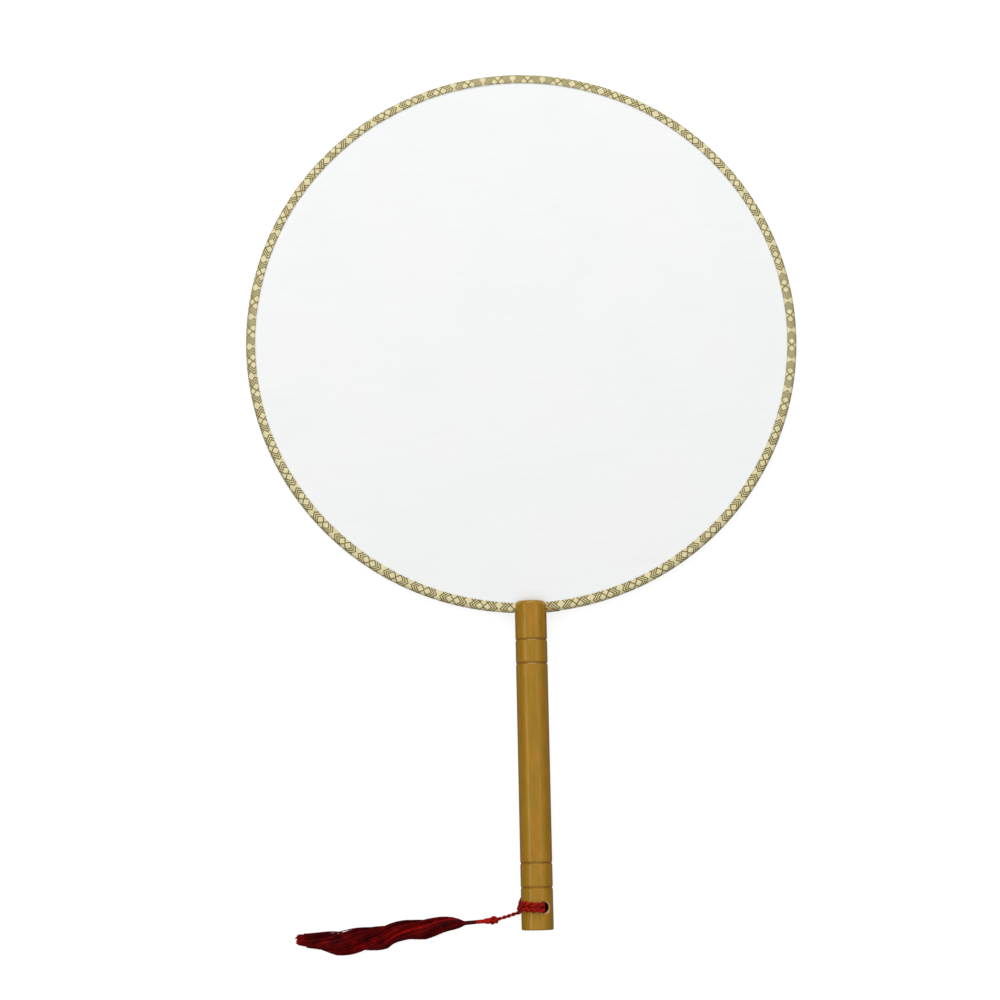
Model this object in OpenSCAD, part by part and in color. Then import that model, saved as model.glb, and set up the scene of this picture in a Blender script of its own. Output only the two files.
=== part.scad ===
// Round silk hand fan with a turned wooden handle and a cord tassel, in millimetres.
// It lies flat: +Z is up from the table, and +Y runs from the handle's butt to the disc's far edge.
// The origin is on the table, under the middle of the fan's overall length and of the disc's width.

/* [Disc] */
// Diameter of the finished disc, over its edge trim
disc_d = 240; // [150:1:320]
// Thickness of the steel wire that the hoop is bent from
wire_d = 2.4; // [1.6:0.1:2.6]
// Thickness of each stretched silk
silk_t = 0.2; // [0.1:0.05:0.3]
// Thickness of the brocade tape
trim_t = 0.35; // [0.2:0.05:0.5]
// Width of tape that shows on each face of the disc
trim_w = 4.05; // [3.6:0.05:10]
// Gap between layers that lie on each other
layer_gap = 0.05; // [0.02:0.01:0.1]

/* [Hoop legs] */
// Length of each wire leg below its bend
leg_len = 28; // [15:1:60]
// Bend radius at the middle of the wire, where the hoop turns into a leg
leg_bend_r = 3; // [2.2:0.1:3.4]
// Gap between the two legs
leg_gap = 0.1; // [0.05:0.05:0.2]
// Clearance round the wire's bends, cut in the silks and the tape
notch_gap = 0.15; // [0.1:0.05:0.25]

/* [Handle] */
// Diameter of the handle
handle_d = 13.5; // [12:0.5:18]
// Length of the handle
handle_len = 138.5; // [100:0.5:200]
// How far to the right of the disc's middle the handle is set
handle_side = 1.5; // [0:0.1:4]
// How far the handle's head reaches over the disc's edge
head_overlap = 5.1; // [3.5:0.1:9]
// Rounding of the head's corner, measured across the handle
head_round_across = 1.5; // [0.5:0.1:3]
// Rounding of the head's corner, measured along the handle
head_round_along = 2.3; // [0.5:0.1:4]
// Rounding of the butt's corner
butt_round = 0.6; // [0.2:0.1:1.5]
// Clearance between the head's slot and the rim of the disc
slot_gap = 0.1; // [0.05:0.05:0.3]
// Diameter of the bore that takes the hoop's legs
bore_d = 5.6; // [5.5:0.1:7]
// Space left below the legs in the bore
bore_spare = 3; // [1:0.5:8]
// Depth of the glue round the legs, from the bottom of the bore
glue_len = 24; // [10:1:26]

/* [Grooves] */
// Width of the turned grooves
groove_w = 0.7; // [0.4:0.1:1.5]
// Depth of the turned grooves
groove_depth = 0.35; // [0.1:0.05:0.8]
// Upper groove, from the end of the head
head_groove_1 = 16.7; // [10:0.1:21]
// Second groove, from the end of the head
head_groove_2 = 26.8; // [23:0.1:45]
// Lowest groove, from the butt
butt_groove_1 = 17.6; // [15:0.1:22]
// Groove above it, from the butt
butt_groove_2 = 27.8; // [24:0.1:40]

/* [Cord hole] */
// Diameter of the hole for the tassel's cord
hole_d = 4.4; // [4.2:0.1:5]
// Distance of the hole from the butt
hole_from_butt = 9.4; // [6:0.1:12]
// Turn of the hole to the right of straight up
hole_angle = 27; // [24:1:36]
// Countersink at the two mouths of the hole
hole_chamfer = 0.4; // [0.1:0.1:0.8]

/* [Cord] */
// Thickness of the doubled cord where it is pulled tight round the handle
wrap_d = 1.5; // [1.2:0.05:1.6]
// Spacing of the turns along the handle
wrap_pitch = 2.2; // [2.1:0.05:2.4]
// Bend radius of the cord over the edges of the hole
wrap_bend_r = 2; // [1.8:0.05:2.1]
// Clearance between the cord and the wood
wrap_gap = 0.1; // [0.05:0.05:0.2]
// Thickness of the two strands twisted together, between the handle and the knot
hang_d = 2; // [1.6:0.1:2.4]
// Length of that free stretch, from its turning point by the handle to the middle of the knot
hang_len = 10.1; // [7:0.1:20]
// Diameter of the knot
knot_d = 3.8; // [3:0.1:4.6]
// Clearance between the cord, the knot and the binding, which turn against each other
joint_gap = 0.15; // [0.1:0.05:0.3]

/* [Tassel] */
// Length of the thread binding below the knot
binding_len = 10; // [6:0.5:16]
// Diameter of the binding
binding_d = 1.9; // [1.8:0.1:2.6]
// Diameter of the binding's thicker collar, next to the knot
collar_d = 2.7; // [2:0.1:2.9]
// Length of that collar
collar_len = 2.6; // [1:0.1:4]
// Diameter of the yarn inside the binding
core_d = 1.2; // [0.8:0.1:1.4]
// Clearance between the yarn and its binding
core_gap = 0.05; // [0.02:0.01:0.1]
// Length of the yarn skirt below the binding
skirt_len = 72; // [40:1:110]
// Widest place of the skirt, as it lies
skirt_w = 10.8; // [6:0.1:16]
// Thickest place of the skirt, up from the table
skirt_h = 5.6; // [4.4:0.1:9]

/* [Hidden] */
$fn = 96;
// How far a cutting shape stands past the face that it cuts
past = 1;
// How much the wire swells where its curve changes sides
bend_swell = 0.03;
// How far the free cord's underside is kept above the table
table_gap = 0.05;

// Overall length, and the places that follow from it
disc_r = disc_d / 2;
handle_r = handle_d / 2;
total_len = disc_d + handle_len - head_overlap;
disc_y = total_len / 2 - disc_r;
head_y = disc_y - disc_r + head_overlap;
butt_y = head_y - handle_len;
mid_z = handle_r;

// Layers at the rim, from the middle of the wire outwards
wire_r = wire_d / 2;
silk_in = wire_r + layer_gap;
silk_out = silk_in + silk_t;
trim_in = silk_out + layer_gap;
trim_out = trim_in + trim_t;
hoop_r = disc_r - trim_out;
trim_flat = hoop_r - (disc_r - trim_w);

// Hoop legs, seen from the disc's middle: side is 1 for the right leg and -1 for the left
leg_x = (wire_d + leg_gap) / 2;
bend_reach = hoop_r + leg_bend_r;
function bend_x(side) = handle_side + side * (leg_x + leg_bend_r);
function bend_y(side) = -sqrt(pow(bend_reach, 2) - pow(bend_x(side), 2));
function bend_turn(side) = asin(bend_x(side) / bend_reach);
leg_end = min(bend_y(-1), bend_y(1)) - leg_len;
slot_floor = disc_y - disc_r - slot_gap;
bore_bottom = disc_y + leg_end - bore_spare;

// The cord's winding, across the handle: angles are from straight up to the left
hole_y = butt_y + hole_from_butt;
front_mouth = -hole_angle;
back_mouth = 180 - hole_angle;
wrap_r = handle_r + wrap_gap + wrap_d / 2;
bend_out = wrap_r - wrap_bend_r;
bend_lag = asin(wrap_bend_r / bend_out);
arc_start = front_mouth + bend_lag;
arc_end = back_mouth - bend_lag;
// Where each turn starts to step aside on the left, and where the second leaves its arc behind the handle
step_from = [62, 74];
last_end = 124;
row_1 = -wrap_pitch / 2;
row_2 = wrap_pitch / 2;
row_3 = 1.9 * wrap_pitch;
bend_steps = 4;
arc_steps = 14;

// The cord's tail, which leaves the hole at the back and runs out low under the handle's left side
cord_heading = 16;
cord_z = hang_d / 2 + table_gap;
tail_bend_deg = back_mouth - 90;
tail_in = (mid_z - cord_z - wrap_bend_r * (1 - sin(hole_angle))) / cos(hole_angle);
tail_bend = on_arc(back_mouth, tail_in) + on_arc(tail_bend_deg, wrap_bend_r);
tail_out = -handle_r - wrap_d / 2;
tail_drift = (tail_out - tail_bend[0]) * tan(cord_heading);
tail_end = wrap_point([tail_out, cord_z - mid_z], row_1 + tail_drift);

// The point that the free stretch turns on, and the knot on the table
knot_r = knot_d / 2;
cord_pivot = tail_end - (hang_d / 2 + joint_gap) * [cos(cord_heading), sin(cord_heading), 0];
hang_run = sqrt(pow(hang_len, 2) - pow(knot_r - cord_z, 2));
knot_at = [cord_pivot[0] - hang_run * cos(cord_heading), cord_pivot[1] - hang_run * sin(cord_heading), knot_r];

// The tassel lies from the knot along its own heading, in degrees below -X
tassel_heading = 4;
binding_from = knot_r + joint_gap;
skirt_from = binding_from + binding_len;
core_r = core_d / 2;
// Outline of the skirt as it lies. Each row: share of the length, sideways drift and width as shares of
// the widest place, and height as a share of the thickest place
SKIRT = [[0.05, -0.02, 0.42, 0.62], [0.09, -0.03, 0.50, 0.75], [0.14, 0.01, 0.63, 0.86], [0.24, 0.09, 0.77, 0.97],
         [0.35, 0.06, 0.74, 1.00], [0.42, 0.10, 0.73, 0.99], [0.47, 0.23, 0.91, 0.97], [0.55, 0.29, 0.98, 0.93],
         [0.64, 0.31, 1.00, 0.89], [0.76, 0.30, 0.90, 0.79], [0.86, 0.19, 0.64, 0.64], [0.94, 0.11, 0.46, 0.50],
         [1.00, 0.05, 0.20, 0.30]];
skirt_sides = 16;

function unit(v) = v / norm(v);
function on_arc(a, r) = [-r * sin(a), r * cos(a)];
function ease(t) = t * t * (3 - 2 * t);
function clamped(t) = max(0, min(1, t));

// A point of the winding from its place across the handle and its place along it
function wrap_point(across, row) = [handle_side + across[0], hole_y + row, mid_z + across[1]];
function step_row(a, from, to, start, end) = from + (to - from) * ease(clamped((a - start) / (end - start)));
function arc_point(a, row) = wrap_point(on_arc(a, wrap_r), row);
function turned(middle, from, to, row) = [for (i = [0 : bend_steps])
    wrap_point(middle + on_arc(from + (to - from) * i / bend_steps, wrap_bend_r), row)];
function front_bend(row) = turned(on_arc(arc_start, bend_out), front_mouth - 90, arc_start, row);
function back_bend(row) = turned(on_arc(arc_end, bend_out), arc_end, back_mouth + 90, row);
function in_hole(row) = [wrap_point([0, 0], row)];

tail = concat([tail_end, (tail_end + wrap_point(tail_bend - [0, wrap_bend_r], row_1)) / 2],
              turned(tail_bend, 180, back_mouth + 90, row_1));
first_turn = [for (i = [1 : arc_steps - 1])
    let (a = arc_start + (arc_end - arc_start) * i / arc_steps)
        arc_point(a, step_row(a, row_1, row_2, step_from[0], arc_end))];
second_turn = [for (i = [1 : arc_steps])
    let (a = arc_start + (last_end - arc_start) * i / arc_steps)
        arc_point(a, step_row(a, row_2, row_3, step_from[1], last_end))];
straight_end = [for (run = [0.5, 1.1])
    wrap_point(on_arc(last_end, wrap_r) + on_arc(last_end + 90, run * wrap_d), row_3)];
WINDING = concat(tail, in_hole(row_1), front_bend(row_1), first_turn, back_bend(row_2), in_hole(row_2),
                 front_bend(row_2), second_turn, straight_end);
// Points nearer than this along the winding are neighbours, and don't count as its gap to itself
near_points = 5;
winding_gap = min([for (i = [0 : len(WINDING) - 1], j = [i + near_points : 1 : len(WINDING) - 1])
    norm(WINDING[i] - WINDING[j])]) - wrap_d;
echo(least_gap_of_the_winding_to_itself = winding_gap);

// Rings of a tube along points, one radius for each. beside is any direction across all of them.
function heading(points, i) =
    unit(points[min(i + 1, len(points) - 1)] - points[max(i - 1, 0)]);
function ring(middle, along, beside, r, sides) =
    let (a = unit(cross(beside, along)), b = cross(along, a))
    [for (k = [0 : sides - 1]) middle + r * (cos(360 * k / sides) * a + sin(360 * k / sides) * b)];

// Closes a row of rings, each a list of points that runs anticlockwise seen from the far end
module skinned(rings) {
    sides = len(rings[0]);
    last = (len(rings) - 1) * sides;
    walls = [for (i = [0 : len(rings) - 2], k = [0 : sides - 1])
        let (a = i * sides + k, b = i * sides + (k + 1) % sides)
        each [[a, a + sides, b + sides], [a, b + sides, b]]];
    near_end = [for (k = [1 : sides - 2]) [0, k, k + 1]];
    far_end = [for (k = [1 : sides - 2]) [last, last + k + 1, last + k]];
    polyhedron(points = [for (r = rings) each r], faces = concat(near_end, walls, far_end));
}

module tube(points, radii, beside, sides) {
    skinned([for (i = [0 : len(points) - 1]) ring(points[i], heading(points, i), beside, radii[i], sides)]);
}

// Frames that pieces are drawn in
module on_disc() translate([0, disc_y, mid_z]) children();
module along_handle() translate([handle_side, butt_y, mid_z]) rotate([-90, 0, 0]) children();
module along_tassel() translate(knot_at) rotate([0, 0, 180 + tassel_heading]) children();

// Outline of one turned groove, from the butt towards the head
function groove(place) = [[handle_r, place - groove_w / 2], [handle_r - groove_depth, place - groove_w / 5],
                          [handle_r - groove_depth, place + groove_w / 5], [handle_r, place + groove_w / 2]];

module handle_outline() {
    butt_corner = [for (a = [0 : 15 : 90])
        [handle_r - butt_round * (1 - sin(a)), butt_round * (1 - cos(a))]];
    head_corner = [for (a = [0 : 10 : 90])
        [handle_r - head_round_across * (1 - cos(a)), handle_len - head_round_along * (1 - sin(a))]];
    polygon(concat([[0, 0]], butt_corner, groove(butt_groove_1), groove(butt_groove_2),
                   groove(handle_len - head_groove_2), groove(handle_len - head_groove_1),
                   head_corner, [[0, handle_len]]));
}

// The cross hole with a countersink at each mouth, as one turned cutter
module cord_hole() {
    hole_r = hole_d / 2;
    edge = sqrt(pow(handle_r, 2) - pow(hole_r, 2)) - hole_chamfer;
    reach = handle_r + past;
    mouth_r = hole_r + reach - edge;
    translate([handle_side, hole_y, mid_z]) rotate([0, hole_angle, 0]) rotate_extrude()
        polygon([[0, -reach], [mouth_r, -reach], [hole_r, -edge], [hole_r, edge], [mouth_r, reach], [0, reach]]);
}

module handle() {
    slot_h = 2 * (trim_out + slot_gap);
    color("#b08742") difference() {
        along_handle() rotate_extrude() handle_outline();
        translate([handle_side - handle_r - past, slot_floor, mid_z - slot_h / 2])
            cube([handle_d + 2 * past, head_y - slot_floor + past, slot_h]);
        translate([handle_side, bore_bottom, mid_z]) rotate([-90, 0, 0])
            cylinder(h = slot_floor - bore_bottom + past, d = bore_d);
        cord_hole();
    }
}

module hoop_side(side) {
    translate([bend_x(side), bend_y(side), 0]) mirror([side > 0 ? 1 : 0, 0, 0])
        rotate_extrude(angle = 90 - side * bend_turn(side)) translate([leg_bend_r, 0])
            circle(wire_r, $fn = 48);
    translate([handle_side + side * leg_x, leg_end, 0]) rotate([-90, 0, 0])
        cylinder(h = bend_y(side) - leg_end, r = wire_r, $fn = 48);
    // The wire swells a little where it is bent out of the ring
    rotate([0, 0, bend_turn(side)]) translate([0, -hoop_r, 0]) sphere(wire_r + bend_swell, $fn = 48);
}

module wire_hoop() {
    color("#8c8f94") on_disc() {
        rotate([0, 0, bend_turn(1) - 90])
            rotate_extrude(angle = 360 - bend_turn(1) + bend_turn(-1)) translate([hoop_r, 0])
                circle(wire_r, $fn = 48);
        hoop_side(1);
        hoop_side(-1);
    }
}

module bore_glue() {
    grip_r = wire_r + layer_gap;
    color("#e0d3a8") translate([handle_side, bore_bottom, mid_z]) rotate([-90, 0, 0]) difference() {
        cylinder(h = glue_len, r = bore_d / 2 - layer_gap);
        translate([0, 0, bore_spare - layer_gap]) {
            for (side = [-1, 1])
                translate([side * leg_x, 0, 0]) cylinder(h = glue_len, r = grip_r);
            translate([-leg_x, -wire_r / 2, 0]) cube([2 * leg_x, wire_r, glue_len]);
        }
    }
}

// Opening at the bottom of the rim, where the wire's bends and legs pass out
module leg_notch() {
    reach = wire_r + notch_gap;
    left = bend_x(-1) - reach;
    right = bend_x(1) + reach;
    inner = sqrt(pow(hoop_r, 2) - pow(max(-left, right), 2)) - layer_gap;
    translate([left, -disc_r - past, -reach]) cube([right - left, disc_r + past - inner, 2 * reach]);
}

// Half outline of a silk: flat inside the hoop, and turned down over the wire
module silk_outline() {
    translate([0, silk_in]) square([hoop_r, silk_t]);
    translate([hoop_r, 0]) intersection() {
        difference() {
            circle(silk_out);
            circle(silk_in);
        }
        translate([0, layer_gap]) square(silk_out + past);
    }
}

module silk() {
    difference() {
        rotate_extrude($fn = 180) silk_outline();
        leg_notch();
    }
}

module front_silk() {
    color("#f4f5f5") on_disc() silk();
}

module back_silk() {
    color("#eef0f0") on_disc() mirror([0, 0, 1]) silk();
}

// The tape's section: a half ring round the wire with a flat leg on each face
module trim_outline() {
    translate([hoop_r, 0]) difference() {
        union() {
            circle(trim_out);
            translate([-trim_flat, -trim_out]) square([trim_flat, 2 * trim_out]);
        }
        circle(trim_in);
        translate([-trim_flat - past, -trim_in]) square([trim_flat + past, 2 * trim_in]);
    }
}

module edge_trim() {
    color("#cdbd86") on_disc() difference() {
        rotate_extrude($fn = 180) trim_outline();
        leg_notch();
    }
}

module cord_wrap() {
    color("#a5160c") tube(WINDING, [for (p = WINDING) wrap_d / 2], [0, 1, 0], 6);
}

module hanging_cord() {
    r = hang_d / 2;
    way = unit(knot_at - cord_pivot);
    free = hang_len - knot_r - joint_gap;
    // The end that turns by the handle is a dome round its turning point
    dome = [for (a = [75, 50, 25]) [-r * sin(a), r * cos(a)]];
    rest = [for (i = [0 : 3]) [free * i / 3, r]];
    stations = concat(dome, rest);
    color("#b31a10") tube([for (s = stations) cord_pivot + s[0] * way], [for (s = stations) s[1]], [0, 0, 1], 8);
}

module cord_knot() {
    color("#b31a10") translate(knot_at) sphere(r = knot_r, $fn = 48);
}

module tassel_binding() {
    bore_r = core_r + core_gap;
    slope = (collar_d - binding_d) / 2;
    color("#8c120c") along_tassel() rotate([0, 90, 0]) rotate_extrude($fn = 32)
        polygon([[bore_r, binding_from], [collar_d / 2, binding_from],
                 [collar_d / 2, binding_from + collar_len - slope], [binding_d / 2, binding_from + collar_len],
                 [binding_d / 2, skirt_from], [bore_r, skirt_from]]);
}

// One section of the skirt, flatter below than above
function section(place, drift, half_w, half_h, low) = [for (k = [0 : skirt_sides - 1])
    let (a = 360 * k / skirt_sides, up = sin(a))
    [place, drift + half_w * cos(a), low + half_h * (1 + (up < 0 ? -pow(-up, 0.6) : up))]];

module tassel_skirt() {
    core_low = -core_r;
    core = [section(binding_from, 0, core_r, core_r, core_low),
            section(skirt_from + core_gap, 0, core_r, core_r, core_low)];
    // It sinks from the binding to the table in its first rows, and then lies on it
    body = [for (row = SKIRT) let (half_h = skirt_h * row[3] / 2)
        section(skirt_from + skirt_len * row[0], skirt_w * row[1], skirt_w * row[2] / 2, half_h,
                row[0] > 0.5 ? -knot_r : -min(knot_r, half_h))];
    color("#6e0a10") along_tassel() skinned(concat(core, body));
}

handle();
wire_hoop();
bore_glue();
front_silk();
back_silk();
edge_trim();
cord_wrap();
hanging_cord();
cord_knot();
tassel_binding();
tassel_skirt();
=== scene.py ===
# %% [markdown]
# # A round silk hand fan
#
# The real fan is a steel wire bent into a hoop, with a thin silk stretched over each side. A strip of
# brocade tape is folded round the rim. The two ends of the wire are glued into a turned, lacquered
# handle, and a red cord with a tassel is hitched through a hole near its butt.
#
# The solid model fixes every size and every place. Here it gets its cloth, its cord, its yarn and its
# finishes. Lengths are written in millimetres, and each mesh is scaled to metres as it is made.

# %% Load the solid model
import math

import bmesh
import bpy
from mathutils import Matrix, Vector, noise


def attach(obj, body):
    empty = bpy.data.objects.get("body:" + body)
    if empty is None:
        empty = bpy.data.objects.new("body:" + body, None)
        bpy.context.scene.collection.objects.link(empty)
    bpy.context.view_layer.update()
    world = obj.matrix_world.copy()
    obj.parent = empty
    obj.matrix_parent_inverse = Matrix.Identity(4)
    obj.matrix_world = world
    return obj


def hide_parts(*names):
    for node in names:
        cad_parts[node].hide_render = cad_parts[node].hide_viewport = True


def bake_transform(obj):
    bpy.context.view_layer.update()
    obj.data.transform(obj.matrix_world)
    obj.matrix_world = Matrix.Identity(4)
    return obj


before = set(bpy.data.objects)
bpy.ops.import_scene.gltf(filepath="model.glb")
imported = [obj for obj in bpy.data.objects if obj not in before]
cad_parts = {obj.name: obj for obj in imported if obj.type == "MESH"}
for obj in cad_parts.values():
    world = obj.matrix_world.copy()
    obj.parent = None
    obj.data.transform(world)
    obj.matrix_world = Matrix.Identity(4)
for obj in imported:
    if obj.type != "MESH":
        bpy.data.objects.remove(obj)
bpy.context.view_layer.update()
MM = 0.001
print("nodes of the solid model:", ", ".join(sorted(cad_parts)))

# %% [markdown]
# These sizes come from the solid model's source. The fan lies on the table at height 0. Y runs from the
# butt of the handle to the far edge of the disc, and X runs to the right.

# %% Sizes of the fan, in millimetres
DISC_R = 120.0
DISC_Y = 66.7
HANDLE_X = 1.5
HANDLE_R = 6.75
HANDLE_LEN = 138.5
BUTT_Y = -186.7
MID_Z = 6.75
HEAD_Y = BUTT_Y + HANDLE_LEN
TRIM_OUT = 1.9
HOOP_R = DISC_R - TRIM_OUT
TRIM_W = 4.05
HOLE_R = 2.2
HOLE_Y = BUTT_Y + 9.4
HOLE_TURN = 27.0
KNOT_AT = Vector((-16.78, -182.457, 1.9))
KNOT_R = 1.9
print(f"the fan is {DISC_Y + DISC_R - BUTT_Y:.1f} mm long")

# %% [markdown]
# The photograph was taken from almost straight above, 81 degrees over the table, from about a metre
# away. A lens near 83 mm gives the same slight narrowing of the disc.

# %% Camera
def aim_camera(target, distance, elevation, roll, lens):
    back = Vector((0, -math.cos(elevation), math.sin(elevation)))
    data = bpy.data.cameras.new("camera")
    data.lens = lens
    data.sensor_width = 36
    data.clip_start = 0.01
    camera = bpy.data.objects.new("camera", data)
    bpy.context.scene.collection.objects.link(camera)
    camera.location = (target + back * distance) * MM
    camera.rotation_euler = ((-back).to_track_quat("-Z", "Y").to_matrix()
                             @ Matrix.Rotation(roll, 3, "Z")).to_euler()
    bpy.context.scene.camera = camera
    return camera


camera = aim_camera(target=Vector((-10.635, -4.082, 6.85)), distance=1000, elevation=math.radians(81),
                    roll=math.radians(-1.167), lens=83.52)
print("camera at", [round(c, 3) for c in camera.location])

# %% [markdown]
# Every piece is made from points and faces, so one small function does that. A strip that is wound or
# folded also needs a UV map, which says how far along and how far across the strip a point lies. The
# patterns and fibres follow it.

# %% Making and finishing meshes
def make_mesh(name, points, faces, uvs=None):
    """points are in millimetres, and uvs gives one pair for each point"""
    mesh = bpy.data.meshes.new(name)
    mesh.from_pydata([tuple(c * MM for c in p) for p in points], [], faces)
    if uvs:
        layer = mesh.uv_layers.new(name="strip")
        for loop in mesh.loops:
            layer.data[loop.index].uv = uvs[loop.vertex_index]
    mesh.polygons.foreach_set("use_smooth", [True] * len(mesh.polygons))
    obj = bpy.data.objects.new(name, mesh)
    bpy.context.scene.collection.objects.link(obj)
    return obj


def bake(obj):
    """Turns what an object's modifiers show into its plain mesh"""
    graph = bpy.context.evaluated_depsgraph_get()
    mesh = bpy.data.meshes.new_from_object(obj.evaluated_get(graph))
    obj.modifiers.clear()
    obj.data = mesh
    return obj


def smooth_step(x, low, high):
    t = max(0.0, min(1.0, (x - low) / (high - low)))
    return t * t * (3 - 2 * t)

# %% [markdown]
# A finish, like a tree of Geometry Nodes, is a set of nodes, and one function adds a node with its
# settings, values and links. Colours are written as on a paint card, in sRGB, and turned to the linear
# values that the renderer wants.

# %% Adding nodes
def linear(hex_colour):
    parts = [int(hex_colour[i:i + 2], 16) / 255 for i in (1, 3, 5)]
    return [p / 12.92 if p <= 0.04045 else ((p + 0.055) / 1.055) ** 2.4 for p in parts] + [1.0]


def add(tree, kind, values=None, stops=(), **settings):
    """Adds a node. Settings are its properties, stops its ramp of (place, colour), and values its inputs.
    A node given as a value is linked by the first output that it uses"""
    made = tree.nodes.new(kind)
    for key, value in settings.items():
        setattr(made, key, value)
    for _ in stops[2:]:
        made.color_ramp.elements.new(0.5)
    for i, (place, colour) in enumerate(stops):
        made.color_ramp.elements[i].position = place
        made.color_ramp.elements[i].color = linear(colour) if isinstance(colour, str) else colour
    for name, value in (values or {}).items():
        socket = next(s for s in made.inputs if s.enabled and s.name == name) \
            if isinstance(name, str) else made.inputs[name]
        if isinstance(value, bpy.types.Node):
            value = next(s for s in value.outputs if s.enabled)
        if isinstance(value, bpy.types.NodeSocket):
            tree.links.new(value, socket)
        else:
            socket.default_value = linear(value) if str(value).startswith("#") else value
    return made


def new_material(name):
    material = bpy.data.materials.new(name)
    material.use_nodes = True
    material.node_tree.nodes.clear()
    return material, material.node_tree


def grey(level):
    return [level, level, level, 1.0]

# %% [markdown]
# ## The cord
#
# One rayon strand, 1.1 mm thick, is folded in half and twisted on itself. Its two ends are tied into the
# knot. It runs up to the handle, goes in at the back of the cross hole and comes out on the front, and
# winds over the front and back into the hole once more. The fold lies flat behind the handle after the
# second turn.
#
# A folded, twisted strand is one line that runs up one side of a helix and back down the other. So the
# middle line of the pair comes first, with the same turns as the solid model, and the strand is set
# beside it. Where it is pulled tight round the wood the pair is pressed flat.

# %% The middle line of the pair
STRAND_R = 0.57
PAIR_WIDE, PAIR_HIGH = 0.61, 0.36
FREE_PAIR, FREE_STRAND_R = 0.38, 0.4
TAIL_Z, TAIL_OUT = 1.1, 0.75
FOLD_ANGLE = 137
WRAP_R = HANDLE_R + PAIR_HIGH + STRAND_R + 0.02
FLAT_R = HANDLE_R + STRAND_R + 0.02
BEND_R = 2.1
ROW_1, ROW_2, ROW_3 = -1.06, 1.04, 4.1
ROW_DRIFT = 0.6
FRONT_MOUTH = -HOLE_TURN
BACK_MOUTH = 180 - HOLE_TURN
CORD_HEADING = math.radians(16)


def across(angle, radius):
    """A place across the handle: the angle is from straight up to the left, in degrees"""
    a = math.radians(angle)
    return Vector((-radius * math.sin(a), radius * math.cos(a)))


def on_handle(place, row):
    return Vector((HANDLE_X + place[0], HOLE_Y + row, MID_Z + place[1]))


bend_out = WRAP_R - BEND_R
bend_lag = math.degrees(math.asin(BEND_R / bend_out))
arc_start, arc_end = FRONT_MOUTH + bend_lag, BACK_MOUTH - bend_lag


def small_bend(middle, start, end, row, steps=10):
    return [on_handle(middle + across(start + (end - start) * i / steps, BEND_R), row)
            for i in range(steps + 1)]


def turn_over(end, row, next_row, step_from, land_from=400, steps=60):
    """A turn over the front. It steps aside on the left, and may come down flat on the wood"""
    points = []
    for i in range(1, steps):
        a = arc_start + (end - arc_start) * i / steps
        radius = WRAP_R + (FLAT_R - WRAP_R) * smooth_step(a, land_from, land_from + 18)
        aside = ROW_DRIFT * smooth_step(a, 0, 70) * (1 - smooth_step(a, 95, end))
        row_here = row + aside + (next_row - row) * smooth_step(a, step_from, end)
        points.append(on_handle(across(a, radius), row_here))
    return points


def cord_route():
    tail_in = ((MID_Z - TAIL_Z - BEND_R * (1 - math.sin(math.radians(HOLE_TURN))))
               / math.cos(math.radians(HOLE_TURN)))
    tail_bend = across(BACK_MOUTH, tail_in) + across(BACK_MOUTH - 90, BEND_R)
    tail_x = -HANDLE_R - TAIL_OUT
    drift = (tail_x - tail_bend[0]) * math.tan(CORD_HEADING)
    edge = on_handle((tail_x, TAIL_Z - MID_Z), ROW_1 + drift)
    under = on_handle(tail_bend - Vector((0, BEND_R)), ROW_1)
    near_knot = KNOT_AT + Vector((math.cos(CORD_HEADING), math.sin(CORD_HEADING), -0.25)) * 1.1
    half_way = (near_knot + edge) / 2 - Vector((0, 0.12, 0.1))
    points = [near_knot, near_knot.lerp(half_way, 0.5), half_way, half_way.lerp(edge, 0.5), edge,
              (edge + under) / 2]
    points += small_bend(tail_bend, 180, BACK_MOUTH + 90, ROW_1)
    points += [on_handle((0, 0), ROW_1)]
    points += small_bend(across(arc_start, bend_out), FRONT_MOUTH - 90, arc_start, ROW_1)
    points += turn_over(arc_end, ROW_1, ROW_2, step_from=88)
    points += small_bend(across(arc_end, bend_out), arc_end, BACK_MOUTH + 90, ROW_2)
    points += [on_handle((0, 0), ROW_2)]
    points += small_bend(across(arc_start, bend_out), FRONT_MOUTH - 90, arc_start, ROW_2)
    points += turn_over(FOLD_ANGLE, ROW_2, ROW_3, step_from=98, land_from=58)
    return points


def resample(points, step):
    """Even points along a line"""
    places = [0.0]
    for a, b in zip(points, points[1:]):
        places.append(places[-1] + (b - a).length)
    count = max(2, round(places[-1] / step))
    made, j = [], 0
    for i in range(count + 1):
        at = places[-1] * i / count
        while j < len(points) - 2 and places[j + 1] < at:
            j += 1
        share = (at - places[j]) / max(places[j + 1] - places[j], 1e-9)
        made.append(points[j].lerp(points[j + 1], min(1.0, share)))
    return made


def relax(points, rounds):
    """Rounds the corners of a line by averaging neighbours, and keeps its ends"""
    for _ in range(rounds):
        points = [points[0]] + [(a + 2 * b + c) / 4 for a, b, c in zip(points, points[1:], points[2:])] \
            + [points[-1]]
    return points


LINE_STEP = 0.2
middle_line = resample(relax(resample(cord_route(), LINE_STEP), rounds=6), LINE_STEP)
print(f"the pair's middle line is {LINE_STEP * (len(middle_line) - 1):.0f} mm long")

# %% [markdown]
# The strand is offset from the middle line by a turning arrow. One turn takes 5.8 mm on the handle, so
# that a bump shows every 2.9 mm, and 4.2 mm where the cord runs free. Towards the fold the arrow stops
# turning, and the two halves lie side by side and part into a small eye.

# %% The strand, out and back
FREE_LEN = 10.5
FREE_LAY, WOUND_LAY = 4.2, 5.8
FOLD_FLAT, FOLD_TWISTED = 7.0, 8.6
FOLD_EYE = 0.35


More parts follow.
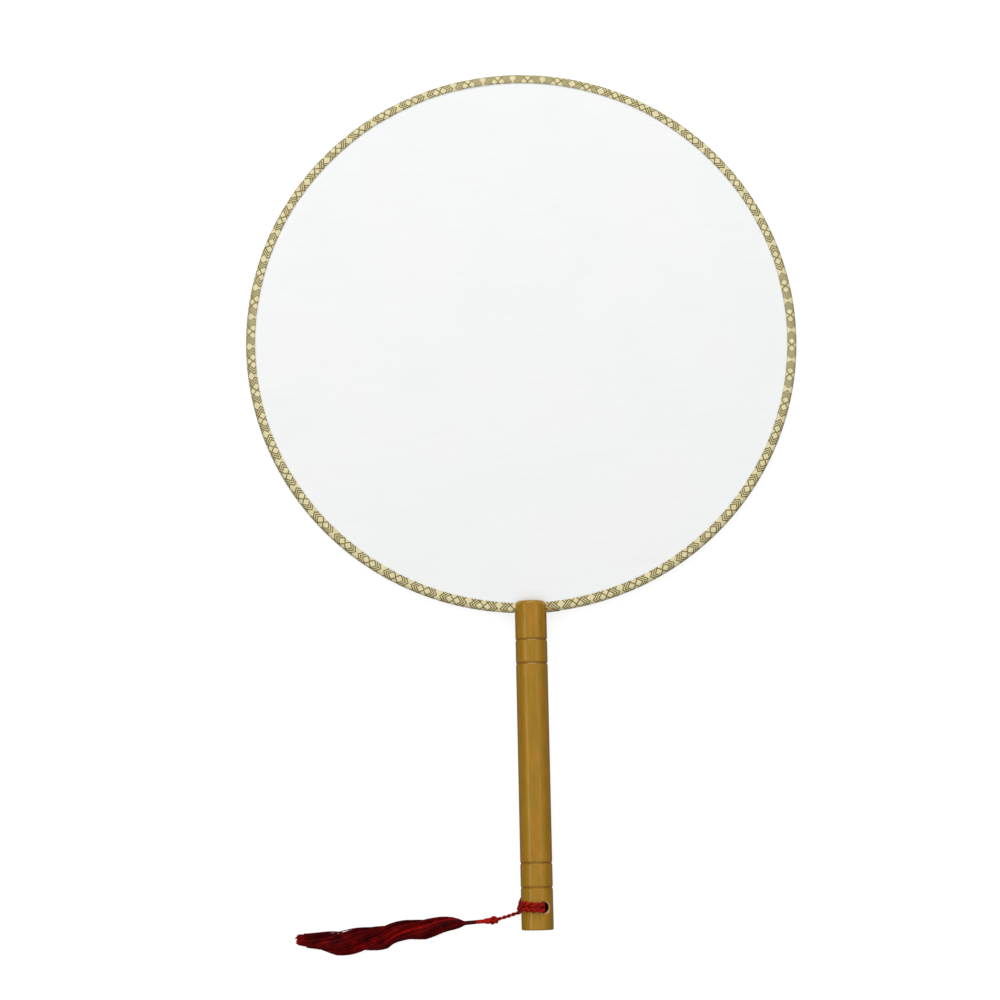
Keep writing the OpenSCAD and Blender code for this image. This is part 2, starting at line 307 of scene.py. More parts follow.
def strand_line(line, step):
    count = len(line)
    phase, phases = 0.0, []
    for i in range(count - 1, -1, -1):
        phases.append(phase)
        if (count - 1 - i) * step > FOLD_FLAT:
            phase += 2 * math.pi * step / (FREE_LAY if i * step < FREE_LEN else WOUND_LAY)
    phases.reverse()
    there, back = [], []
    for i, p in enumerate(line):
        along = (line[min(i + 1, count - 1)] - line[max(i - 1, 0)]).normalized()
        side = Vector((0, 1, 0))
        side = (side - along * side.dot(along)).normalized()
        up = along.cross(side)
        to_end = (count - 1 - i) * step
        drawn = smooth_step(i * step, FREE_LEN - 2, FREE_LEN + 2)
        wide = FREE_PAIR + (PAIR_WIDE - FREE_PAIR) * drawn + FOLD_EYE * (1 - smooth_step(to_end, 0.3, 2.6))
        high = FREE_PAIR + (PAIR_HIGH - FREE_PAIR) * drawn
        high *= smooth_step(to_end, FOLD_FLAT - 1, FOLD_TWISTED)
        arrow = side * math.cos(phases[i]) * wide + up * math.sin(phases[i]) * high
        there.append(p + arrow)
        back.append(p - arrow)
    along = (line[-1] - line[-2]).normalized()
    reach = (there[-1] - back[-1]) / 2
    middle = (there[-1] + back[-1]) / 2
    fold = [middle + reach * math.cos(a) + along * reach.length * math.sin(a)
            for a in [math.pi * k / 24 for k in range(1, 24)]]
    return there + fold + back[::-1]


def tube(line, radii, sides, closed=False):
    """Points, faces and UVs of a round tube along a line. U is the length along it in millimetres"""
    count = len(line)
    along = [(line[(i + 1) % count if closed else min(i + 1, count - 1)]
              - line[(i - 1) % count if closed else max(i - 1, 0)]).normalized() for i in range(count)]
    side = along[0].orthogonal().normalized()
    points, uvs, faces = [], [], []
    run = 0.0
    for i in range(count):
        side = (side - along[i] * side.dot(along[i])).normalized()
        up = along[i].cross(side)
        if i:
            run += (line[i] - line[i - 1]).length
        for k in range(sides):
            a = 2 * math.pi * k / sides
            points.append(line[i] + (side * math.cos(a) + up * math.sin(a)) * radii[i])
            uvs.append((run, k / sides))
    for i in range(count if closed else count - 1):
        for k in range(sides):
            n = (k + 1) % sides
            a, b = i * sides, ((i + 1) % count) * sides
            faces.append((a + k, a + n, b + n, b + k))
    if not closed:
        faces.append(list(range(sides - 1, -1, -1)))
        faces.append([(count - 1) * sides + k for k in range(sides)])
    return points, faces, uvs


STRAND_SPACING = 0.22
strand = resample(strand_line(middle_line, LINE_STEP), STRAND_SPACING)
cord_length = sum((b - a).length for a, b in zip(strand, strand[1:]))
strand_step = cord_length / (len(strand) - 1)
from_knot = [min(i, len(strand) - 1 - i) * strand_step for i in range(len(strand))]
strand_radii = [FREE_STRAND_R + (STRAND_R - FREE_STRAND_R) * smooth_step(d, FREE_LEN, FREE_LEN + 4)
                for d in from_knot]
cord = make_mesh("hitched_cord", *tube(strand, strand_radii, sides=10))
print(f"the strand is {cord_length:.0f} mm long, in {len(cord.data.polygons)} faces, and its lowest point",
      f"is {min(p[2] - r for p, r in zip(strand, strand_radii)):.2f} mm up")

# %% [markdown]
# Rayon cord has a soft shine and is itself twisted from fine filaments. Those wind round the strand at a
# steep slant, and they are drawn about 0.09 mm wide, a few times as wide as they are, so that they show.

# %% Red rayon cord
def cord_material(name, dark, light, slant):
    material, tree = new_material(name)
    place = add(tree, "ShaderNodeSeparateXYZ", {"Vector": add(tree, "ShaderNodeUVMap", uv_map="strip")})
    slanted = add(tree, "ShaderNodeMath", {0: place.outputs["X"], 1: slant, 2: place.outputs["Y"]},
                  operation="MULTIPLY_ADD")
    turned = add(tree, "ShaderNodeMath", {0: slanted, 1: 2 * math.pi * 12}, operation="MULTIPLY")
    filament = add(tree, "ShaderNodeMath", {0: turned}, operation="SINE")
    cloud = add(tree, "ShaderNodeTexNoise", {"Vector": add(tree, "ShaderNodeTexCoord").outputs["Object"],
                                             "Scale": 900.0, "Detail": 3.0})
    shade = add(tree, "ShaderNodeMath", {0: filament, 1: 0.16, 2: cloud}, operation="MULTIPLY_ADD")
    colour = add(tree, "ShaderNodeValToRGB", {"Fac": shade}, stops=[(0.3, dark), (0.72, light)])
    relief = add(tree, "ShaderNodeBump", {"Strength": 0.45, "Distance": 0.1 * MM, "Height": filament})
    surface = add(tree, "ShaderNodeBsdfPrincipled",
                  {"Base Color": colour, "Roughness": 0.5, "Normal": relief, "Specular IOR Level": 0.12,
                   "Sheen Weight": 0.03, "Sheen Roughness": 0.4, "Sheen Tint": "#ff6040"})
    add(tree, "ShaderNodeOutputMaterial", {"Surface": surface})
    return material


red_rayon = cord_material("twisted_red_rayon", "#620300", "#cf210e", 0.9)
cord.data.materials.append(red_rayon)
print("cord finish:", red_rayon.name)

# %% [markdown]
# ## The knot
#
# An overhand knot drawn tight is a trefoil: the strand passes round the middle three times. The middle
# line of a trefoil is a line on a ring that goes twice round it while it winds three times about it.

# %% The knot
def trefoil(count, ring, winding, stretch):
    along = Vector((math.cos(CORD_HEADING), math.sin(CORD_HEADING), -0.05)).normalized()
    side = Vector((-along[1], along[0], 0)).normalized()
    up = along.cross(side)
    line = []
    for i in range(count):
        t = 2 * math.pi * i / count
        r = ring + winding * math.cos(3 * t)
        line.append(KNOT_AT + side * r * math.cos(2 * t) + up * r * math.sin(2 * t)
                    + along * stretch * winding * math.sin(3 * t))
    return line


KNOT_STRAND_R = 0.54
knot_line = trefoil(count=220, ring=0.86, winding=0.48, stretch=2.4)
knot = make_mesh("drawn_knot", *tube(knot_line, [KNOT_STRAND_R] * len(knot_line), sides=12,
                                     closed=True))
knot.data.materials.append(red_rayon)
print(f"knot from {min(p[2] for p in knot_line) - KNOT_STRAND_R:.2f}",
      f"to {max(p[2] for p in knot_line) + KNOT_STRAND_R:.2f} mm")

# %% [markdown]
# ## The binding
#
# Below the knot the yarn is gathered and wound with thread: a few thick red turns next to the knot, thin
# red turns after them, and then thin dark ones. Winding is a spiral, which Geometry Nodes make from four
# sizes: turns, radius, length and the thickness of the thread. The tree lays it along Z, and the mesh is
# then turned to lie along the tassel.

# %% Geometry Nodes: wound thread
TASSEL_TURN = math.radians(4)
ALONG = Vector((-math.cos(TASSEL_TURN), -math.sin(TASSEL_TURN), 0))
ASIDE = Vector((math.sin(TASSEL_TURN), -math.cos(TASSEL_TURN), 0))
UP = Vector((0, 0, 1))


def new_tree(name, sockets):
    """A Geometry Nodes tree with a geometry output and named inputs: (name, kind, value)"""
    tree = bpy.data.node_groups.new(name, "GeometryNodeTree")
    tree.interface.new_socket("Geometry", in_out="OUTPUT", socket_type="NodeSocketGeometry")
    for title, kind, value in sockets:
        made = tree.interface.new_socket(title, in_out="INPUT", socket_type="NodeSocket" + kind)
        if value is not None:
            made.default_value = value
    return tree, add(tree, "NodeGroupInput").outputs


def grow(name, tree, values):
    """Runs a tree on an empty object with these inputs, and keeps the result as a plain mesh"""
    obj = bpy.data.objects.new(name, bpy.data.meshes.new(name))
    bpy.context.scene.collection.objects.link(obj)
    modifier = obj.modifiers.new(name, "NODES")
    modifier.node_group = tree
    sockets = {s.name: s.identifier for s in tree.interface.items_tree if s.in_out == "INPUT"}
    for title, value in values.items():
        modifier[sockets[title]] = value
    return bake(obj)


winding_tree, inputs = new_tree("wound_thread", [
    ("Turns", "Float", 5.0), ("Start radius", "Float", 0.001), ("End radius", "Float", 0.001),
    ("Length", "Float", 0.005), ("Thread radius", "Float", 0.0002), ("Material", "Material", None)])
spiral = add(winding_tree, "GeometryNodeCurveSpiral",
             {"Resolution": 20, "Rotations": inputs["Turns"], "Start Radius": inputs["Start radius"],
              "End Radius": inputs["End radius"], "Height": inputs["Length"]})
section = add(winding_tree, "GeometryNodeCurvePrimitiveCircle",
              {"Resolution": 8, "Radius": inputs["Thread radius"]}, mode="RADIUS")
wound = add(winding_tree, "GeometryNodeCurveToMesh",
            {"Curve": spiral, "Profile Curve": section, "Fill Caps": True})
real = add(winding_tree, "GeometryNodeRealizeInstances", {"Geometry": wound})
painted = add(winding_tree, "GeometryNodeSetMaterial", {"Geometry": real, "Material": inputs["Material"]})
add(winding_tree, "NodeGroupOutput", {"Geometry": painted})
print("inputs of the winding:", [s.name for s in winding_tree.interface.items_tree if s.in_out == "INPUT"])

# %% [markdown]
# Thread is finer and less shiny than the cord, and it has no UV map after the tree, so its fine twist comes
# from its place. The turns next to the knot are red, and the neck above the skirt is dark like the yarn.

# %% The collar and the neck
def thread_material(name, dark, light):
    material, tree = new_material(name)
    cloud = add(tree, "ShaderNodeTexNoise", {"Vector": add(tree, "ShaderNodeTexCoord").outputs["Object"],
                                             "Scale": 2500.0, "Detail": 3.0})
    colour = add(tree, "ShaderNodeValToRGB", {"Fac": cloud}, stops=[(0.32, dark), (0.7, light)])
    relief = add(tree, "ShaderNodeBump", {"Strength": 0.5, "Distance": 0.06 * MM, "Height": cloud})
    surface = add(tree, "ShaderNodeBsdfPrincipled",
                  {"Base Color": colour, "Roughness": 0.6, "Normal": relief, "Specular IOR Level": 0.12,
                   "Sheen Weight": 0.03, "Sheen Roughness": 0.4, "Sheen Tint": "#ff6040"})
    add(tree, "ShaderNodeOutputMaterial", {"Surface": surface})
    return material


def lay_along_tassel(obj, start, axes):
    """Turns a piece so that its X, Y and Z lie along these axes, this far from the knot's middle"""
    turn = Matrix(axes).transposed().to_4x4()
    turn.translation = (KNOT_AT + ALONG * start) * MM
    obj.data.transform(turn)
    if turn.determinant() < 0:
        obj.data.flip_normals()
    return obj


collar_red = thread_material("red_winding_thread", "#8a0803", "#cf210e")
neck_red = thread_material("dark_red_thread", "#1a0004", "#5a0309")
bindings = []
for name, start, length, turns, start_r, end_r, thread_r, finish in (
        ("tassel_collar", 1.5, 2.4, 4.3, 1.02, 0.86, 0.33, collar_red),
        ("red_thread_neck", 3.8, 3.5, 9.0, 0.7, 0.66, 0.22, collar_red),
        ("dark_thread_neck", 7.4, 4.8, 12.5, 0.62, 0.7, 0.22, neck_red)):
    winding = grow(name, winding_tree, {
        "Turns": turns, "Start radius": start_r * MM, "End radius": end_r * MM, "Length": length * MM,
        "Thread radius": thread_r * MM, "Material": finish})
    bindings.append(lay_along_tassel(winding, start, (-ASIDE, UP, ALONG)))
print("faces in the winding:", sum(len(piece.data.polygons) for piece in bindings))

# %% [markdown]
# ## The yarn
#
# The skirt is a few hundred loose strands of rayon. They start side by side in the neck, spread to the
# skirt's outline, and turn slowly round each other, so that on top they run slantwise. They lie in locks,
# and the locks end at different places.
#
# The tree makes one straight line, copies it once for each strand and moves each point by rule. The rule
# takes a strand's place in its lock, and the outline's drift, width and height at that point, which are the
# rows that the solid skirt is lofted from. One ramp holds all three, as its red, green and blue.

# %% Geometry Nodes: a skirt of yarn
SKIRT_FROM = 12.05
SKIRT_LEN, SKIRT_W, SKIRT_H = 72.0, 10.8, 5.6
DRIFT_SPARE = 0.1
OUTLINE = [(0.00, 0.00, 0.11, 0.21), (0.05, -0.02, 0.42, 0.62), (0.09, -0.03, 0.50, 0.75),
           (0.14, 0.01, 0.63, 0.86), (0.24, 0.09, 0.77, 0.97), (0.35, 0.06, 0.74, 1.00),
           (0.42, 0.10, 0.73, 0.99), (0.47, 0.23, 0.91, 0.97), (0.55, 0.29, 0.98, 0.93),
           (0.64, 0.31, 1.00, 0.89), (0.76, 0.30, 0.90, 0.79), (0.86, 0.19, 0.68, 0.64),
           (0.94, 0.11, 0.54, 0.50), (1.00, 0.05, 0.42, 0.36)]

yarn_tree, inputs = new_tree("yarn_skirt", [
    ("Strands", "Int", 400), ("Strands in a lock", "Int", 14), ("Thickness", "Float", 0.0004),
    ("Length", "Float", 0.072), ("Width", "Float", 0.0108), ("Height", "Float", 0.0056),
    ("Twist", "Float", -3.4), ("Seed", "Int", 7), ("Material", "Material", None)])

line = add(yarn_tree, "GeometryNodeCurvePrimitiveLine", {"End": (1.0, 0.0, 0.0)})
fine = add(yarn_tree, "GeometryNodeResampleCurve", {"Curve": line, "Count": 30})
many = add(yarn_tree, "GeometryNodeDuplicateElements", {"Geometry": fine, "Amount": inputs["Strands"]},
           domain="SPLINE")
strand_number = add(yarn_tree, "GeometryNodeCurveOfPoint").outputs["Curve Index"]
lock_share = add(yarn_tree, "ShaderNodeMath", {0: strand_number, 1: inputs["Strands in a lock"]},
                 operation="DIVIDE")
lock_number = add(yarn_tree, "ShaderNodeMath", {0: lock_share}, operation="FLOOR")

# Place of the lock in the round bundle, as its turn and its distance out, and of the strand in its lock.
# Y is across the skirt and Z is up, both as shares of its half width and half height
lock_chance = add(yarn_tree, "FunctionNodeRandomValue",
                  {"Min": (0.0, 0.3, 0.0), "Max": (2 * math.pi, 0.86, 1.0), "ID": lock_number,
                   "Seed": inputs["Seed"]}, data_type="FLOAT_VECTOR")
lock_parts = add(yarn_tree, "ShaderNodeSeparateXYZ", {"Vector": lock_chance}).outputs
lock_arm = add(yarn_tree, "ShaderNodeCombineXYZ", {"Y": lock_parts["Y"]})
lock_place = add(yarn_tree, "ShaderNodeVectorRotate", {"Vector": lock_arm, "Angle": lock_parts["X"]},
                 rotation_type="X_AXIS")
own_place = add(yarn_tree, "FunctionNodeRandomValue",
                {"Min": (0.0, -0.18, -0.18), "Max": (1.0, 0.18, 0.18), "ID": strand_number,
                 "Seed": inputs["Seed"]}, data_type="FLOAT_VECTOR")
own_chance = add(yarn_tree, "ShaderNodeSeparateXYZ", {"Vector": own_place}).outputs["X"]
place = add(yarn_tree, "ShaderNodeVectorMath", {0: lock_place, 1: own_place}, operation="ADD")

# How far along the skirt this point lies, as a share: the locks end at 0.9 to 1, their strands near that
lock_reach = add(yarn_tree, "ShaderNodeMath", {0: lock_parts["Z"], 1: 0.085, 2: 0.895},
                 operation="MULTIPLY_ADD")
reach = add(yarn_tree, "ShaderNodeMath", {0: own_chance, 1: 0.025, 2: lock_reach}, operation="MULTIPLY_ADD")
factor = add(yarn_tree, "GeometryNodeSplineParameter").outputs["Factor"]
share = add(yarn_tree, "ShaderNodeMapRange", {"Value": factor, "To Min": -0.03, "To Max": reach})
inside = add(yarn_tree, "ShaderNodeMath", {0: share, 1: 0.0}, operation="MAXIMUM")

# The bundle turns as a whole, and a lock waves, its strands nearly alike
turn = add(yarn_tree, "ShaderNodeMath", {0: inside, 1: inputs["Twist"]}, operation="MULTIPLY")
place = add(yarn_tree, "ShaderNodeVectorRotate", {"Vector": place, "Angle": turn}, rotation_type="X_AXIS")
wave_at = add(yarn_tree, "ShaderNodeCombineXYZ", {"X": share, "Y": lock_number, "Z": strand_number})
wave_at = add(yarn_tree, "ShaderNodeVectorMath", {0: wave_at, 1: (5.0, 3.7, 0.05)}, operation="MULTIPLY")
wave = add(yarn_tree, "ShaderNodeTexNoise", {"Vector": wave_at, "Scale": 1.0, "Detail": 1.0})
wave = add(yarn_tree, "ShaderNodeVectorMath", {0: wave.outputs["Color"], 1: (0.5, 0.5, 0.5)},
           operation="SUBTRACT")
loose = add(yarn_tree, "ShaderNodeMath", {0: inside}, operation="SQRT")
loose = add(yarn_tree, "ShaderNodeMath", {0: loose, 1: 0.37}, operation="MULTIPLY")
wave = add(yarn_tree, "ShaderNodeVectorMath", {0: wave, "Scale": loose}, operation="SCALE")
place = add(yarn_tree, "ShaderNodeVectorMath", {0: place, 1: wave}, operation="ADD")
place = add(yarn_tree, "ShaderNodeSeparateXYZ", {"Vector": place}).outputs

# From shares to metres
outline = add(yarn_tree, "ShaderNodeValToRGB", {"Fac": inside},
              stops=[(at, (drift + DRIFT_SPARE, width, height, 1.0))
                     for at, drift, width, height in OUTLINE])
outline = add(yarn_tree, "ShaderNodeVectorMath", {0: outline, 1: (DRIFT_SPARE, 0.0, 0.0)},
              operation="SUBTRACT")
half_sizes = add(yarn_tree, "ShaderNodeCombineXYZ",
                 {"X": inputs["Width"], "Y": inputs["Width"], "Z": inputs["Height"]})
half_sizes = add(yarn_tree, "ShaderNodeVectorMath", {0: half_sizes, 1: (1.0, 0.5, 0.5)},
                 operation="MULTIPLY")
outline = add(yarn_tree, "ShaderNodeVectorMath", {0: outline, 1: half_sizes}, operation="MULTIPLY")
outline = add(yarn_tree, "ShaderNodeSeparateXYZ", {"Vector": outline}).outputs
across_skirt = add(yarn_tree, "ShaderNodeMath", {0: place["Y"], 1: outline["Y"], 2: outline["X"]},
                   operation="MULTIPLY_ADD")

# The bundle leaves the neck at the height of the knot's middle and sinks until it lies on the table
settle = add(yarn_tree, "ShaderNodeMapRange", {"Value": inside, "From Max": 0.1},
             interpolation_type="SMOOTHSTEP")
middle = add(yarn_tree, "ShaderNodeMath", {0: outline["Z"], 1: KNOT_R * MM}, operation="SUBTRACT")
middle = add(yarn_tree, "ShaderNodeMath", {0: middle, 1: settle}, operation="MULTIPLY")
height = add(yarn_tree, "ShaderNodeMath", {0: place["Z"], 1: outline["Z"], 2: middle},
             operation="MULTIPLY_ADD")
lowest = add(yarn_tree, "ShaderNodeMath", {0: inputs["Thickness"], 1: 0.5, 2: (0.03 - KNOT_R) * MM},
             operation="MULTIPLY_ADD")
height = add(yarn_tree, "ShaderNodeMath", {0: height, 1: lowest}, operation="MAXIMUM")
along_skirt = add(yarn_tree, "ShaderNodeMath", {0: share, 1: inputs["Length"]}, operation="MULTIPLY")
spot = add(yarn_tree, "ShaderNodeCombineXYZ", {"X": along_skirt, "Y": across_skirt, "Z": height})
moved = add(yarn_tree, "GeometryNodeSetPosition", {"Geometry": many, "Position": spot})

# Each strand gets a tint and a thickness, and is skinned
tint = add(yarn_tree, "ShaderNodeMath", {0: lock_parts["Z"], 1: own_chance}, operation="ADD")
tint = add(yarn_tree, "ShaderNodeMath", {0: tint, 1: 0.5}, operation="MULTIPLY")
tinted = add(yarn_tree, "GeometryNodeStoreNamedAttribute",
             {"Geometry": moved, "Name": "strand_tint", "Value": tint}, data_type="FLOAT", domain="POINT")
yarn_r = add(yarn_tree, "ShaderNodeMath", {0: inputs["Thickness"], 1: 0.5}, operation="MULTIPLY")
section = add(yarn_tree, "GeometryNodeCurvePrimitiveCircle", {"Resolution": 4, "Radius": yarn_r},
              mode="RADIUS")
skin = add(yarn_tree, "GeometryNodeCurveToMesh",
           {"Curve": tinted, "Profile Curve": section, "Fill Caps": True})
shaded = add(yarn_tree, "GeometryNodeSetShadeSmooth", {"Geometry": skin})
real = add(yarn_tree, "GeometryNodeRealizeInstances", {"Geometry": shaded})
painted = add(yarn_tree, "GeometryNodeSetMaterial", {"Geometry": real, "Material": inputs["Material"]})
add(yarn_tree, "NodeGroupOutput", {"Geometry": painted})
print("nodes in the yarn tree:", len(yarn_tree.nodes))

# %% [markdown]
# The yarn is dark red rayon. Each strand keeps the tint that the tree stored on it, and its filaments catch
# the light only a little, because hundreds of round strands shade each other.

# %% The tassel's yarn
def yarn_material():
    material, tree = new_material("dark_red_rayon_yarn")
    tint = add(tree, "ShaderNodeAttribute", attribute_name="strand_tint").outputs["Fac"]
    cloud = add(tree, "ShaderNodeTexNoise", {"Vector": add(tree, "ShaderNodeTexCoord").outputs["Object"],
                                             "Scale": 260.0, "Detail": 2.0})
    half = add(tree, "ShaderNodeMath", {0: cloud, 1: 0.5}, operation="MULTIPLY")
    shade = add(tree, "ShaderNodeMath", {0: tint, 1: 0.6, 2: half}, operation="MULTIPLY_ADD")
    colour = add(tree, "ShaderNodeValToRGB", {"Fac": shade},
                 stops=[(0.25, "#200003"), (0.6, "#560103"), (0.9, "#a80c0c")])
    surface = add(tree, "ShaderNodeBsdfPrincipled",
                  {"Base Color": colour, "Roughness": 0.5, "Specular IOR Level": 0.06})
    add(tree, "ShaderNodeOutputMaterial", {"Surface": surface})
    return material


skirt = grow("tassel_yarn", yarn_tree, {
    "Strands": 480, "Strands in a lock": 12, "Thickness": 0.42 * MM, "Length": SKIRT_LEN * MM,
    "Width": SKIRT_W * MM, "Height": SKIRT_H * MM, "Twist": -5.2, "Seed": 7, "Material": yarn_material()})
lay_along_tassel(skirt, SKIRT_FROM, (ALONG, ASIDE, UP))
print("faces in the yarn:", len(skirt.data.polygons))

# %% [markdown]
# ## The handle
#
# A lathe turns a rod from an outline, so the mesh is made the same way: the outline is spun round the axis.
# The corners of the grooves are rounded, as a scraper leaves them, because a rounded edge catches a line of
# light. The slot for the rim, the bore for the wire and the cross hole are then cut out of it.

# %% Turning and cutting the handle
HEAD_GROOVES = (16.7, 26.8)
BUTT_GROOVES = (17.6, 27.8)
GROOVE_DEPTH = 0.32
BUTT_ROUND = 0.6
HEAD_ROUND_IN, HEAD_ROUND_LEN = 1.5, 2.3


def groove(y):
    half = [(0.0, 1.0), (0.0, 0.75), (0.05, 0.56), (0.24, 0.27), (GROOVE_DEPTH, 0.0)]
    return [(HANDLE_R - depth, y - off) for depth, off in half] \
        + [(HANDLE_R - depth, y + off) for depth, off in half[-2::-1]]


def rod_outline():
    outline = [(0.0, 0.0)]
    outline += [(HANDLE_R - BUTT_ROUND * (1 - math.sin(a)), BUTT_ROUND * (1 - math.cos(a)))
                for a in [math.pi / 2 * k / 6 for k in range(7)]]
    outline.append((HANDLE_R, 0.9))
    for y in (*BUTT_GROOVES, HANDLE_LEN - HEAD_GROOVES[1], HANDLE_LEN - HEAD_GROOVES[0]):
        outline += groove(y)
    outline.append((HANDLE_R, HANDLE_LEN - 2.6))
    outline += [(HANDLE_R - HEAD_ROUND_IN * (1 - math.cos(a)),
                 HANDLE_LEN - HEAD_ROUND_LEN * (1 - math.sin(a)))
                for a in [math.pi / 2 * k / 10 for k in range(11)]]
    return outline + [(0.0, HANDLE_LEN)]


def spun(name, outline, place, sides=128):
    """Spins (radius, height) points round an axis. The first and last lie on it"""
    points, faces = [place(0.0, outline[0][1], 0.0)], []
    for r, y in outline[1:-1]:
        points += [place(r * math.sin(2 * math.pi * k / sides), y, r * math.cos(2 * math.pi * k / sides))
                   for k in range(sides)]
    points.append(place(0.0, outline[-1][1], 0.0))
    last = len(points) - 1
    for k in range(sides):
        n = (k + 1) % sides
        faces.append((0, 1 + n, 1 + k))
        for ring in range(len(outline) - 3):
            a = 1 + ring * sides
            faces.append((a + k, a + n, a + sides + n, a + sides + k))
        a = 1 + (len(outline) - 3) * sides
        faces.append((a + k, a + n, last))
    return make_mesh(name, points, faces)


def cut(obj, cutter):
    modifier = obj.modifiers.new("cut", "BOOLEAN")
    modifier.operation = "DIFFERENCE"
    modifier.solver = "EXACT"
    modifier.object = cutter
    bake(obj)
    bpy.data.objects.remove(cutter)


def box_mesh(name, low, high):
    corners = [Vector((x, y, z)) for x in (low[0], high[0]) for y in (low[1], high[1])
               for z in (low[2], high[2])]
    return make_mesh(name, corners, [(0, 1, 3, 2), (4, 6, 7, 5), (0, 4, 5, 1), (2, 3, 7, 6), (0, 2, 6, 4),
                                     (1, 5, 7, 3)])


handle = spun("turned_handle", rod_outline(), lambda x, y, z: (HANDLE_X + x, BUTT_Y + y, MID_Z + z))
slot_floor = DISC_Y - DISC_R - 0.1
slot_half = TRIM_OUT + 0.1
bore_bottom, bore_r = -85.4, 2.8
cut(handle, box_mesh("slot", (HANDLE_X - 8, slot_floor, MID_Z - slot_half),
                     (HANDLE_X + 8, HEAD_Y + 1, MID_Z + slot_half)))
cut(handle, spun("bore", [(0, bore_bottom), (bore_r, bore_bottom), (bore_r, slot_floor + 1),
                          (0, slot_floor + 1)],
                 lambda x, y, z: (HANDLE_X + x, y, MID_Z + z), 48))

# The cross hole leans to the right, and its two mouths are countersunk
lean = Matrix.Rotation(math.radians(HOLE_TURN), 3, "Y")
mouth = math.sqrt(HANDLE_R ** 2 - HOLE_R ** 2) - 0.4
cutter_reach = HANDLE_R + 1.25
hole_outline = [(0, -cutter_reach), (HOLE_R + cutter_reach - mouth, -cutter_reach), (HOLE_R, -mouth),
                (HOLE_R, mouth), (HOLE_R + cutter_reach - mouth, cutter_reach), (0, cutter_reach)]
cut(handle, spun("cross_hole", hole_outline,
                 lambda x, y, z: Vector((HANDLE_X, HOLE_Y, MID_Z)) + lean @ Vector((x, -z, y)), 64))
handle.data.polygons.foreach_set("use_smooth", [True] * len(handle.data.polygons))
handle.data.set_sharp_from_angle(angle=math.radians(30))
print("faces in the handle:", len(handle.data.polygons))

# %% [markdown]
# The wood is a pale hardwood such as beech, stained honey brown and lacquered. Its grain runs along the
# rod, in bands about 2 mm wide with finer lines between them, and the stain has taken unevenly, more
# orange here and more olive there.
#
# The lacquer has sunk into the wood, so its line of light is narrow and takes the colour of honey. The
# grooves get painted shade, so they are darker. A pale ring is painted round the mouth of the cross hole,
# and inside it the wood is painted a dark red shade, with the red light that the cord throws in there.

# %% Lacquered honey-brown wood
def distance_to_line(tree, place, point, direction):
    """Distance of a point from a line, for marks that follow a turned or drilled shape"""
    arm = add(tree, "ShaderNodeVectorMath", {0: place, 1: [c * MM for c in point]}, operation="SUBTRACT")
    swept = add(tree, "ShaderNodeVectorMath", {0: arm, 1: direction}, operation="CROSS_PRODUCT")
    return add(tree, "ShaderNodeVectorMath", {0: swept}, operation="LENGTH")


def wood_colour(tree, place, grain):
    band_at = add(tree, "ShaderNodeMapping", {"Vector": place, "Scale": (1.0, 0.09, 1.0)})
    band = add(tree, "ShaderNodeTexNoise",
               {"Vector": band_at, "Scale": 520.0, "Detail": 4.0, "Roughness": 0.6})
    stain_at = add(tree, "ShaderNodeMapping", {"Vector": place, "Scale": (1.0, 0.4, 1.0)})
    stain = add(tree, "ShaderNodeTexNoise", {"Vector": stain_at, "Scale": 420.0, "Detail": 5.0})
    bands = add(tree, "ShaderNodeValToRGB", {"Fac": band},
                stops=[(0.3, "#936d12"), (0.5, "#a37816"), (0.7, "#b4821f")])
    stains = add(tree, "ShaderNodeValToRGB", {"Fac": stain},
                 stops=[(0.34, "#977614"), (0.5, "#a37816"), (0.66, "#b1771b")])
    colour = add(tree, "ShaderNodeMix", {"Factor": 0.55, "A": bands, "B": stains}, data_type="RGBA")
    fine = add(tree, "ShaderNodeValToRGB", {"Fac": grain}, stops=[(0.32, grey(0.8)), (0.62, grey(1.04))])
    return add(tree, "ShaderNodeMix", {"Factor": 0.6, "A": colour, "B": fine}, data_type="RGBA",
               blend_type="MULTIPLY")


